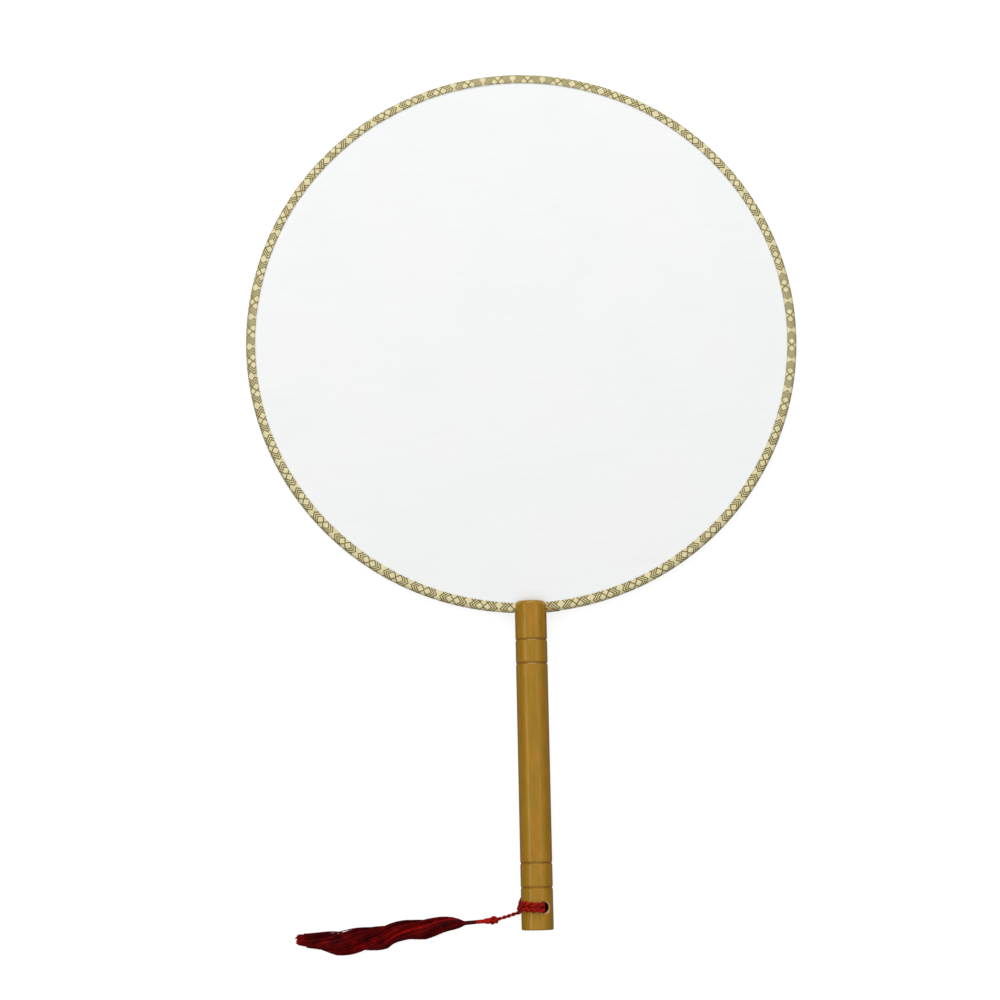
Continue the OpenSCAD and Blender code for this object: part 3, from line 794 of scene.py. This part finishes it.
def wood_material():
    material, tree = new_material("lacquered_honey_wood")
    place = add(tree, "ShaderNodeTexCoord").outputs["Object"]
    grain_at = add(tree, "ShaderNodeMapping", {"Vector": place, "Scale": (1.0, 0.09, 1.0)})
    grain = add(tree, "ShaderNodeTexNoise",
                {"Vector": grain_at, "Scale": 1500.0, "Detail": 5.0, "Roughness": 0.6})
    colour = wood_colour(tree, place, grain)
    # Painted shade in the grooves, but not on the two rounded ends, which are also nearer the axis
    from_axis = distance_to_line(tree, place, (HANDLE_X, 0, MID_Z), (0.0, 1.0, 0.0))
    groove_shade = add(tree, "ShaderNodeMapRange",
                    {"Value": from_axis, "From Min": (HANDLE_R - 0.22) * MM,
                     "From Max": (HANDLE_R - 0.03) * MM, "To Min": 0.9, "To Max": 0.0})
    height = add(tree, "ShaderNodeSeparateXYZ", {"Vector": place}).outputs["Y"]
    middle = add(tree, "ShaderNodeMath",
                 {0: height, 1: (BUTT_Y + HANDLE_LEN / 2) * MM, 2: (HANDLE_LEN / 2 - 4) * MM},
                 operation="COMPARE")
    groove_shade = add(tree, "ShaderNodeMath", {0: groove_shade, 1: middle}, operation="MULTIPLY")
    colour = add(tree, "ShaderNodeMix", {"Factor": groove_shade, "A": colour, "B": "#8a5e18"},
                 data_type="RGBA")
    # A pale ring round the mouth of the hole, and painted shade inside it, dark red from the cord's light
    from_hole = distance_to_line(tree, place, (HANDLE_X, HOLE_Y, MID_Z), tuple(lean @ UP))
    ring = add(tree, "ShaderNodeMapRange", {"Value": from_hole, "From Min": 2.7 * MM, "From Max": 3.0 * MM,
                                            "To Min": 0.8, "To Max": 0.0})
    colour = add(tree, "ShaderNodeMix", {"Factor": ring, "A": colour, "B": "#c9a878"}, data_type="RGBA")
    # Painted shade inside the hole, tinted dark red by the light that the red cord throws in
    hole_shade = add(tree, "ShaderNodeMapRange",
                  {"Value": from_hole, "From Min": HOLE_R * MM, "From Max": (HOLE_R + 0.15) * MM,
                   "To Min": 1.0, "To Max": 0.0})
    colour = add(tree, "ShaderNodeMix", {"Factor": hole_shade, "A": colour, "B": "#3c0806"}, data_type="RGBA")
    relief = add(tree, "ShaderNodeBump", {"Strength": 0.16, "Distance": 0.05 * MM, "Height": grain})
    surface = add(tree, "ShaderNodeBsdfPrincipled",
                  {"Base Color": colour, "Roughness": 0.24, "Normal": relief, "Specular IOR Level": 0.4,
                   "Specular Tint": "#ffdfa8", "Coat Weight": 0.25, "Coat Roughness": 0.12})
    add(tree, "ShaderNodeOutputMaterial", {"Surface": surface})
    return material


handle.data.materials.append(wood_material())
print("handle finish:", handle.data.materials[0].name)

# %% [markdown]
# ## The silks
#
# Each silk is a disc that is stretched over the hoop and glued round the wire. Stretched cloth isn't
# perfectly flat: the weave pulls a little more in some directions, so the surface gets a relief of a few
# hundredths of a millimetre.

# %% Two stretched silks
SILK_OUT = 1.45
SILK_T = 0.2


def silk_points(front, rings=28, spokes=240, wrap_steps=6):
    """A stretched disc with its edge laid over the wire"""
    profile = [(HOOP_R * (k / rings) ** 0.8, SILK_OUT) for k in range(1, rings + 1)]
    profile += [(HOOP_R + SILK_OUT * math.sin(a), SILK_OUT * math.cos(a))
                for a in [math.pi / 2 * 0.96 * k / wrap_steps for k in range(1, wrap_steps + 1)]]
    points, faces = [(0.0, DISC_Y, 0.0)], []
    for r, z in profile:
        for k in range(spokes):
            a = 2 * math.pi * k / spokes
            x, y = r * math.cos(a), r * math.sin(a)
            slack = noise.noise(Vector((x * 0.018, y * 0.018, 3.0 if front else 9.0)))
            near_rim = smooth_step(r, HOOP_R - 16, HOOP_R - 1) * (1 - smooth_step(r, HOOP_R - 4.5, HOOP_R))
            pull = noise.noise(Vector((10 * math.cos(a), 10 * math.sin(a), 0 if front else 5)))
            bow = 1 - smooth_step(r, HOOP_R - 8, HOOP_R)
            points.append((x, DISC_Y + y, z + 0.07 * slack * bow + 0.03 * pull * near_rim))
    points = [(x, y, MID_Z + (z if front else -z)) for x, y, z in points]
    points[0] = (0.0, DISC_Y, points[1][2])
    for k in range(spokes):
        n = (k + 1) % spokes
        faces.append((0, 1 + k, 1 + n))
        for ring in range(len(profile) - 1):
            a, b = 1 + ring * spokes, 1 + (ring + 1) * spokes
            corner = points[b + k]
            in_slot = abs(corner[0] - HANDLE_X) < HANDLE_R - 0.1 and corner[1] < DISC_Y
            if not (ring >= rings - 1 and in_slot):
                faces.append((a + k, b + k, b + n, a + n))
    return points, faces if front else [f[::-1] for f in faces]


def thickened(obj, thickness):
    """Gives a single layer of cloth its thickness, inwards"""
    wall = obj.modifiers.new("cloth", "SOLIDIFY")
    wall.thickness = thickness * MM
    wall.offset = -1
    return bake(obj)


silks = [thickened(make_mesh("front_silk_cloth", *silk_points(True)), SILK_T),
         thickened(make_mesh("back_silk_cloth", *silk_points(False)), SILK_T)]

# %% [markdown]
# The silk is a plain weave of threads about 0.1 mm apart. That is too fine for a picture of the whole fan,
# so the relief is drawn at 0.3 mm. Its white is very slightly uneven, as bleached silk is, with patches a
# few centimetres wide.

# %% White silk
def silk_material():
    material, tree = new_material("plain_white_silk")
    place = add(tree, "ShaderNodeTexCoord").outputs["Object"]
    turns = add(tree, "ShaderNodeVectorMath", {0: place, "Scale": 2 * math.pi / (0.3 * MM)},
                operation="SCALE")
    waves = add(tree, "ShaderNodeVectorMath", {0: turns}, operation="SINE")
    waves = add(tree, "ShaderNodeSeparateXYZ", {"Vector": waves}).outputs
    weave = add(tree, "ShaderNodeMath", {0: waves["X"], 1: waves["Y"]}, operation="MULTIPLY")
    slub_at = add(tree, "ShaderNodeMapping", {"Vector": place, "Scale": (0.06, 1.0, 1.0)})
    slub = add(tree, "ShaderNodeTexNoise", {"Vector": slub_at, "Scale": 900.0, "Detail": 2.0})
    patch = add(tree, "ShaderNodeTexNoise", {"Vector": place, "Scale": 26.0, "Detail": 3.0})
    patches = add(tree, "ShaderNodeValToRGB", {"Fac": patch},
                  stops=[(0.3, "#f1f4f3"), (0.5, "#f3f4f4"), (0.7, "#f4f4f5")])
    threads = add(tree, "ShaderNodeValToRGB", {"Fac": slub}, stops=[(0.3, grey(0.985)), (0.7, grey(1.0))])
    colour = add(tree, "ShaderNodeMix", {"Factor": 1.0, "A": patches, "B": threads}, data_type="RGBA",
                 blend_type="MULTIPLY")
    height = add(tree, "ShaderNodeMath", {0: weave, 1: 0.25, 2: slub}, operation="MULTIPLY_ADD")
    relief = add(tree, "ShaderNodeBump", {"Strength": 0.12, "Distance": 0.06 * MM, "Height": height})
    surface = add(tree, "ShaderNodeBsdfPrincipled",
                  {"Base Color": colour, "Roughness": 0.7, "Normal": relief, "Specular IOR Level": 0.2})
    add(tree, "ShaderNodeOutputMaterial", {"Surface": surface})
    return material


white_silk = silk_material()
for silk in silks:
    silk.data.materials.append(white_silk)
print("silk finish:", white_silk.name)

# %% [markdown]
# ## The brocade tape
#
# A tape about 10 mm wide is folded over the rim and glued down, so that 4 mm of it shows on each face. It is
# straight tape on a round rim, so its inner edges are a little puckered and its width wanders. The UV map
# runs along it and across it in millimetres, and the woven pattern follows that.

# %% The folded tape
TAPE_T = 0.35
ARC_R = TRIM_OUT - 0.05
ARC_LEN = math.pi * ARC_R
FLAT_V = 2.4


def tape_section(angle, lift=0.0, steps=12):
    """Points (radius, height, distance across the tape) from the front edge round to the back edge"""
    c, s = math.cos(angle), math.sin(angle)
    rows = []
    for face in (1, -1):
        wander = 0.22 * noise.noise(Vector((5 * c, 5 * s, 2.0 * face)))
        ragged = 0.07 * noise.noise(Vector((90 * c, 90 * s, 4.0 * face)))
        leg = TRIM_W - TRIM_OUT + 0.1 + wander + ragged
        pucker = 0.05 * noise.noise(Vector((46 * c, 46 * s, 7.0 * face)))
        rows.append([(HOOP_R - leg * (1 - k / 4), face * (ARC_R + lift + pucker * (1 - k / 4)),
                      FLAT_V - leg * (1 - k / 4)) for k in range(5)])
    front, back = rows
    middle = [(HOOP_R + (ARC_R + lift) * math.sin(a), (ARC_R + lift) * math.cos(a), FLAT_V + ARC_R * a)
              for a in [math.pi * k / steps for k in range(1, steps)]]
    return front + middle + [(r, z, 2 * FLAT_V + ARC_LEN - v) for r, z, v in reversed(back)]


def folded_strip(name, angles, lift, thickness, cut_back=None):
    """A strip folded over the rim. cut_back moves a section's angle by its distance across the tape"""
    points, faces, uvs = [], [], []
    width = len(tape_section(0.0))
    for i, angle in enumerate(angles):
        for r, z, v in tape_section(angle, lift):
            a = angle + (cut_back(i, v) if cut_back else 0.0)
            points.append((r * math.cos(a), DISC_Y + r * math.sin(a), MID_Z + z))
            uvs.append((a * DISC_R, v))
    for i in range(len(angles) - 1):
        for k in range(width - 1):
            a, b = i * width + k, (i + 1) * width + k
            faces.append((a + 1, b + 1, b, a))
    obj = make_mesh(name, points, faces, uvs)
    if not cut_back:
        joined = bmesh.new()
        joined.from_mesh(obj.data)
        bmesh.ops.remove_doubles(joined, verts=joined.verts, dist=1e-7)
        joined.to_mesh(obj.data)
        joined.free()
    return thickened(obj, thickness)


TAPE_PARTS = 1440
all_round = [-math.pi / 2 + 2 * math.pi * k / TAPE_PARTS for k in range(TAPE_PARTS + 1)]
tape = folded_strip("brocade_tape", all_round, 0.0, TAPE_T)
print("faces in the tape:", len(tape.data.polygons))

# %% [markdown]
# The tape's two ends are lapped beside the handle. The upper end comes out from under the head of the
# handle and is cut on the slant, and its cut edge is bound with coppery thread, with a line of painted
# shadow on each side. It is a second short layer.

# %% The lapped end
LAP_PARTS = 26
LAP_SLANT = 1.46
LAP_RIGHT = 6.3
BINDING_AND_SHADOW_WIDTH = 2.5
OUTER_EDGE_V = FLAT_V + ARC_LEN / 2
lap_from = -math.pi / 2 + (HANDLE_X + 0.5) / DISC_R
lap_to = -math.pi / 2 + LAP_RIGHT / DISC_R


def lap_cut(i, v):
    """The free end reaches further at the rim's outer edge than at the tape's inner edge"""
    return i / (LAP_PARTS - 1) * LAP_SLANT * min(v, 2 * OUTER_EDGE_V - v) / DISC_R


lap = folded_strip("lapped_tape_end", [lap_from + (lap_to - lap_from) * k / (LAP_PARTS - 1)
                                       for k in range(LAP_PARTS)], 0.22, 0.18, lap_cut)
print("faces in the lap:", len(lap.data.polygons))

# %% [markdown]
# The brocade has a pale gold ground with an olive-gold lattice, a traditional pattern of linked diamonds
# with chevrons between them. It repeats every 13.5 mm along the tape and 8.2 mm across it, and each quarter
# mirrors the next. Every line of it is slanted. On one slant the sum of the distances along and across
# stays the same, and on the other their difference does, so ramps over the sum and over the difference
# hold all the lines. Short ones stop where a diamond ends. The threads are about 0.2 mm wide, so both
# distances are rounded to that, which gives the lines their woven steps. The tape was cut a little askew,
# so the pattern wanders across it on its way round the rim.

# %% Gold brocade
HALF_ALONG, HALF_ACROSS = 6.73, 4.1
LATTICE_SPAN = HALF_ALONG + HALF_ACROSS
PATTERN_FROM, PATTERN_UP = 1.2, 3.6
WANDER = [(0.0, 0.5), (0.03, 0.6), (0.1, 1.5), (0.16, 1.6), (0.23, 1.7), (0.304, 1.9), (0.34, 1.6),
          (0.385, 1.6), (0.42, 3.9), (0.446, 3.6), (0.482, 3.2), (0.518, 2.6), (0.554, 2.0), (0.589, 1.2),
          (0.625, 0.6), (0.661, 0.2), (0.7, 2.8), (0.804, 2.4), (0.839, 2.2), (0.875, 1.8), (0.94, 1.6),
          (1.0, 0.5)]
WARP_STEP, WEFT_STEP = 0.22, 0.2
LINE_HALF, LINE_SOFT = 0.24, 0.44
SHORT_FALLING, LONG_FALLING = (3.75, 5.05), (6.9,)
SHORT_RISING, LONG_RISING = (0.7, 1.95), (3.15,)
FALLING_UNTIL = 0.7
THREAD_TURNS = (28.5, 31.4, 0.0)  # radians for each millimetre along and across


def lines_at(*places):
    """Stops of a ramp that is white on lines at these places, in millimetres, and black between them"""
    stops = [(0.0, grey(0.0))]
    for place in places:
        stops += [((place + off) / LATTICE_SPAN, grey(level)) for off, level in
                  ((-LINE_SOFT, 0.0), (-LINE_HALF, 1.0), (LINE_HALF, 1.0), (LINE_SOFT, 0.0))]
    return stops


def lattice(tree, strip):
    """1 on the pattern's lines and 0 on its ground"""
    u, v = [add(tree, "ShaderNodeMath", {0: strip[axis], 1: step}, operation="SNAP")
            for axis, step in (("X", WARP_STEP), ("Y", WEFT_STEP))]
    round_rim = add(tree, "ShaderNodeMapRange", {"Value": strip["X"], "From Min": -math.pi / 2 * DISC_R,
                                                 "From Max": 3 * math.pi / 2 * DISC_R})
    wander = add(tree, "ShaderNodeValToRGB", {"Fac": round_rim},
                 stops=[(place, grey(value / HALF_ACROSS)) for place, value in WANDER])
    u = add(tree, "ShaderNodeMath", {0: u, 1: PATTERN_FROM}, operation="SUBTRACT")
    v = add(tree, "ShaderNodeMath", {0: v, 1: PATTERN_UP}, operation="SUBTRACT")
    v = add(tree, "ShaderNodeMath", {0: wander, 1: HALF_ACROSS, 2: v}, operation="MULTIPLY_ADD")
    a = add(tree, "ShaderNodeMath", {0: u, 1: HALF_ALONG}, operation="PINGPONG")
    b = add(tree, "ShaderNodeMath", {0: v, 1: HALF_ACROSS}, operation="PINGPONG")
    total = add(tree, "ShaderNodeMath", {0: a, 1: b}, operation="ADD")
    difference = add(tree, "ShaderNodeMath", {0: a, 1: b}, operation="SUBTRACT")
    total_share = add(tree, "ShaderNodeMath", {0: total, 1: LATTICE_SPAN}, operation="DIVIDE")
    difference_share = add(tree, "ShaderNodeMath", {0: difference, 1: LATTICE_SPAN}, operation="DIVIDE")
    near_middle = add(tree, "ShaderNodeMath", {0: difference, 1: FALLING_UNTIL}, operation="LESS_THAN")
    in_diamond = add(tree, "ShaderNodeMath", {0: total, 1: HALF_ALONG}, operation="LESS_THAN")
    # Each set of lines, and where it shows
    pattern = 0.0
    for share, places, where in ((total_share, SHORT_FALLING, near_middle),
                                 (difference_share, SHORT_RISING, in_diamond),
                                 (total_share, LONG_FALLING, 1.0),
                                 (difference_share, LONG_RISING, 1.0)):
        drawn = add(tree, "ShaderNodeValToRGB", {"Fac": share}, stops=lines_at(*places))
        drawn = add(tree, "ShaderNodeMath", {0: drawn, 1: where}, operation="MULTIPLY")
        pattern = add(tree, "ShaderNodeMath", {0: drawn, 1: pattern}, operation="MAXIMUM")
    return pattern


def brocade_material(name, bound_edge_and_shadow=False):
    material, tree = new_material(name)
    uv = add(tree, "ShaderNodeUVMap", uv_map="strip")
    strip = add(tree, "ShaderNodeSeparateXYZ", {"Vector": uv}).outputs
    lines = lattice(tree, strip)
    threads = add(tree, "ShaderNodeVectorMath", {0: uv, 1: THREAD_TURNS}, operation="MULTIPLY")
    threads = add(tree, "ShaderNodeVectorMath", {0: threads}, operation="SINE")
    threads = add(tree, "ShaderNodeSeparateXYZ", {"Vector": threads}).outputs
    weave = add(tree, "ShaderNodeMath", {0: threads["X"], 1: threads["Y"]}, operation="MULTIPLY")
    cloud = add(tree, "ShaderNodeTexNoise", {"Vector": add(tree, "ShaderNodeTexCoord").outputs["Object"],
                                             "Scale": 350.0, "Detail": 3.0})
    ground = add(tree, "ShaderNodeValToRGB", {"Fac": cloud}, stops=[(0.3, "#d9d0a0"), (0.7, "#e9dfb6")])
    silk = add(tree, "ShaderNodeValToRGB", {"Fac": cloud}, stops=[(0.3, "#5f5009"), (0.7, "#796614")])
    colour = add(tree, "ShaderNodeMix", {"Factor": lines, "A": ground, "B": silk}, data_type="RGBA")
    grain = add(tree, "ShaderNodeValToRGB", {"Fac": weave}, stops=[(0.2, grey(0.8)), (0.8, grey(1.0))])
    colour = add(tree, "ShaderNodeMix", {"Factor": 0.12, "A": colour, "B": grain}, data_type="RGBA",
                 blend_type="MULTIPLY")
    if bound_edge_and_shadow:
        # Distance from the slanted cut, which is bound with coppery thread between two painted shadow lines
        slanted = add(tree, "ShaderNodeMath", {0: strip["Y"], 1: -LAP_SLANT, 2: strip["X"]},
                      operation="MULTIPLY_ADD")
        from_cut = add(tree, "ShaderNodeMapRange", {"Value": slanted, "From Min": lap_to * DISC_R,
                                                    "From Max": lap_to * DISC_R - BINDING_AND_SHADOW_WIDTH})
        # The dark stops on both sides of the coppery thread are painted shadow lines
        binding_and_shadow_lines = add(tree, "ShaderNodeValToRGB", {"Fac": from_cut},
                      stops=[(0.0, "#5a4012"), (0.16, "#5a4012"), (0.24, "#c8a870"), (0.7, "#c8a870"),
                             (0.78, "#66481a"), (0.96, "#66481a")])
        binding_and_shadow_area = add(tree, "ShaderNodeMath", {0: from_cut, 1: 0.97}, operation="LESS_THAN")
        colour = add(tree, "ShaderNodeMix", {"Factor": binding_and_shadow_area, "A": colour, "B": binding_and_shadow_lines}, data_type="RGBA")
    height = add(tree, "ShaderNodeMath", {0: weave, 1: 0.35, 2: lines}, operation="MULTIPLY_ADD")
    relief = add(tree, "ShaderNodeBump", {"Strength": 0.2, "Distance": 0.08 * MM, "Height": height})
    surface = add(tree, "ShaderNodeBsdfPrincipled",
                  {"Base Color": colour, "Roughness": 0.55, "Normal": relief, "Specular IOR Level": 0.3,
                   "Sheen Weight": 0.08, "Sheen Roughness": 0.4})
    add(tree, "ShaderNodeOutputMaterial", {"Surface": surface})
    return material


tape.data.materials.append(brocade_material("gold_brocade"))
lap.data.materials.append(brocade_material("gold_brocade_bound_end", bound_edge_and_shadow=True))
print("tape finishes:", tape.data.materials[0].name, "and", lap.data.materials[0].name)

# %% [markdown]
# ## Inside the handle
#
# The wire and the glue are hidden, but a cut-away or an exploded view shows them, so they get a finish too:
# steel wire with fine, dull scratches, and yellowish glue with small bubbles.

# %% Wire and glue
def steel_material():
    material, tree = new_material("drawn_steel_wire")
    scratch = add(tree, "ShaderNodeTexNoise", {"Vector": add(tree, "ShaderNodeTexCoord").outputs["Object"],
                                               "Scale": 1800.0, "Detail": 4.0})
    rough = add(tree, "ShaderNodeMapRange", {"Value": scratch, "From Min": 0.3, "From Max": 0.7,
                                             "To Min": 0.26, "To Max": 0.42})
    colour = add(tree, "ShaderNodeValToRGB", {"Fac": scratch}, stops=[(0.3, "#8b8d90"), (0.7, "#b4b6b8")])
    relief = add(tree, "ShaderNodeBump", {"Strength": 0.15, "Distance": 0.02 * MM, "Height": scratch})
    surface = add(tree, "ShaderNodeBsdfPrincipled",
                  {"Base Color": colour, "Metallic": 1.0, "Roughness": rough, "Normal": relief})
    add(tree, "ShaderNodeOutputMaterial", {"Surface": surface})
    return material


def glue_material():
    material, tree = new_material("dried_wood_glue")
    place = add(tree, "ShaderNodeTexCoord").outputs["Object"]
    bubbles = add(tree, "ShaderNodeTexVoronoi", {"Vector": place, "Scale": 900.0})
    cloud = add(tree, "ShaderNodeTexNoise", {"Vector": place, "Scale": 300.0, "Detail": 2.0})
    colour = add(tree, "ShaderNodeValToRGB", {"Fac": cloud}, stops=[(0.3, "#cdb87c"), (0.7, "#e2d3a2")])
    relief = add(tree, "ShaderNodeBump", {"Strength": 0.3, "Distance": 0.1 * MM, "Height": bubbles})
    surface = add(tree, "ShaderNodeBsdfPrincipled",
                  {"Base Color": colour, "Roughness": 0.35, "Normal": relief,
                   "Subsurface Weight": 0.2, "Subsurface Scale": 0.002})
    add(tree, "ShaderNodeOutputMaterial", {"Surface": surface})
    return material


for node_name, finish in (("wire_hoop", steel_material()), ("bore_glue", glue_material())):
    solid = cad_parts[node_name]
    solid.data.materials.clear()
    solid.data.materials.append(finish)
print("inner pieces finished")

# %% [markdown]
# ## Floor and light
#
# The photograph was cut out on white. The floor shows white to the camera, but to all other light it is a
# middle grey, so it throws only a little back up and the sides of the handle stay dark as they do in the
# picture. It keeps the fan's soft shadow.
#
# The handle shows two long lines of light, a narrow one a quarter of the way in from the left and a faint
# one right of the middle. On a round rod a lamp shows where the surface faces half-way between the lamp
# and the camera, so the lamps stand 46 degrees to the left and 37 degrees to the right, and their long sides
# run along the handle. A third lamp beyond the disc lights the far side of the rim and leaves its near side
# darker. The sky fills in the rest from above.

# %% Floor
THROWN_BACK, SHOWN, GLOW = 0.22, 0.4, 0.78


def floor_material():
    material, tree = new_material("white_table")
    seen = add(tree, "ShaderNodeLightPath").outputs["Is Camera Ray"]
    plain = add(tree, "ShaderNodeBsdfDiffuse", {"Color": grey(THROWN_BACK)})
    bright = add(tree, "ShaderNodeBsdfDiffuse", {"Color": grey(SHOWN)})
    glow = add(tree, "ShaderNodeEmission", {"Color": grey(1.0), "Strength": GLOW})
    shown = add(tree, "ShaderNodeAddShader", {0: bright, 1: glow})
    surface = add(tree, "ShaderNodeMixShader", {0: seen, 1: plain, 2: shown})
    add(tree, "ShaderNodeOutputMaterial", {"Surface": surface})
    return material


FLOOR_HALF = 3000
floor = make_mesh("table", [(-FLOOR_HALF, -FLOOR_HALF, 0), (FLOOR_HALF, -FLOOR_HALF, 0),
                            (FLOOR_HALF, FLOOR_HALF, 0), (-FLOOR_HALF, FLOOR_HALF, 0)], [(0, 1, 2, 3)])
floor.data.materials.append(floor_material())
print("floor laid")

# %% [markdown]
# The sky is bright overhead and dim at the horizon, so that a surface that leans away gets darker, as in the
# picture. It shows white to the camera.

# %% Lamps and sky
LAMP_DISTANCE = 1.3  # metres, as are the places and sizes of the lamps


def softbox(name, away, along, size, watts):
    """An area lamp that faces a place on the table this far along Y. The first side of it lies level"""
    data = bpy.data.lights.new(name, "AREA")
    data.shape = "RECTANGLE"
    data.size, data.size_y = size
    data.energy = watts
    lamp = bpy.data.objects.new(name, data)
    bpy.context.scene.collection.objects.link(lamp)
    lamp.location = Vector((0, along, 0)) + away * LAMP_DISTANCE
    lamp.rotation_euler = away.to_track_quat("Z", "Y").to_euler()
    return lamp


def tilted(degrees, towards):
    """A direction this far from straight up, towards a side"""
    a = math.radians(degrees)
    return Vector((towards[0] * math.sin(a), towards[1] * math.sin(a), math.cos(a)))


for name, degrees, towards, along, size, watts in (
        ("left_softbox", 46, (-1, 0), -0.05, (1.8, 0.3), 3.4),
        ("right_softbox", 37, (1, 0), -0.05, (1.8, 0.5), 1.6),
        ("far_softbox", 58, (0, 1), 0.05, (1.2, 0.5), 7)):
    softbox(name, tilted(degrees, towards), along, size, watts)


def pale_sky(strength):
    world = bpy.data.worlds.new("pale_sky")
    world.use_nodes = True
    tree = world.node_tree
    tree.nodes.clear()
    seen = add(tree, "ShaderNodeLightPath").outputs["Is Camera Ray"]
    facing = add(tree, "ShaderNodeTexCoord").outputs["Generated"]
    facing = add(tree, "ShaderNodeSeparateXYZ", {"Vector": facing}).outputs["Z"]
    level = add(tree, "ShaderNodeMapRange", {"Value": facing, "From Max": 0.9, "To Min": 0.12 * strength,
                                             "To Max": 1.25 * strength}, interpolation_type="SMOOTHSTEP")
    level = add(tree, "ShaderNodeMix", {"Factor": seen, "A": level, "B": 1.0})
    sky = add(tree, "ShaderNodeBackground", {"Color": grey(1.0), "Strength": level})
    add(tree, "ShaderNodeOutputWorld", {"Surface": sky})
    bpy.context.scene.world = world


pale_sky(0.666)
bpy.context.scene.view_settings.view_transform = "Standard"

# %% [markdown]
# ## Joining the pieces to the solid model
#
# The solid model has four bodies: the fan, the cord, the knot and the tassel. Every piece but the strand
# moves with one of them. The strand crosses from the fan to the cord just outside the handle, so its place
# is baked into its mesh and it is attached to neither.

# %% What moves with what
for piece in (handle, *silks, tape, lap):
    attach(piece, "fan")
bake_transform(cord)
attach(knot, "knot")
for piece in (*bindings, skirt):
    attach(piece, "tassel")

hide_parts("handle")
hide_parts("front_silk")
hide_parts("back_silk")
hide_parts("edge_trim")
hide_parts("cord_wrap", "hanging_cord")
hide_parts("cord_knot")
for piece in bindings:
    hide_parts("tassel_binding")
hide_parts("tassel_skirt")

print("pieces joined")
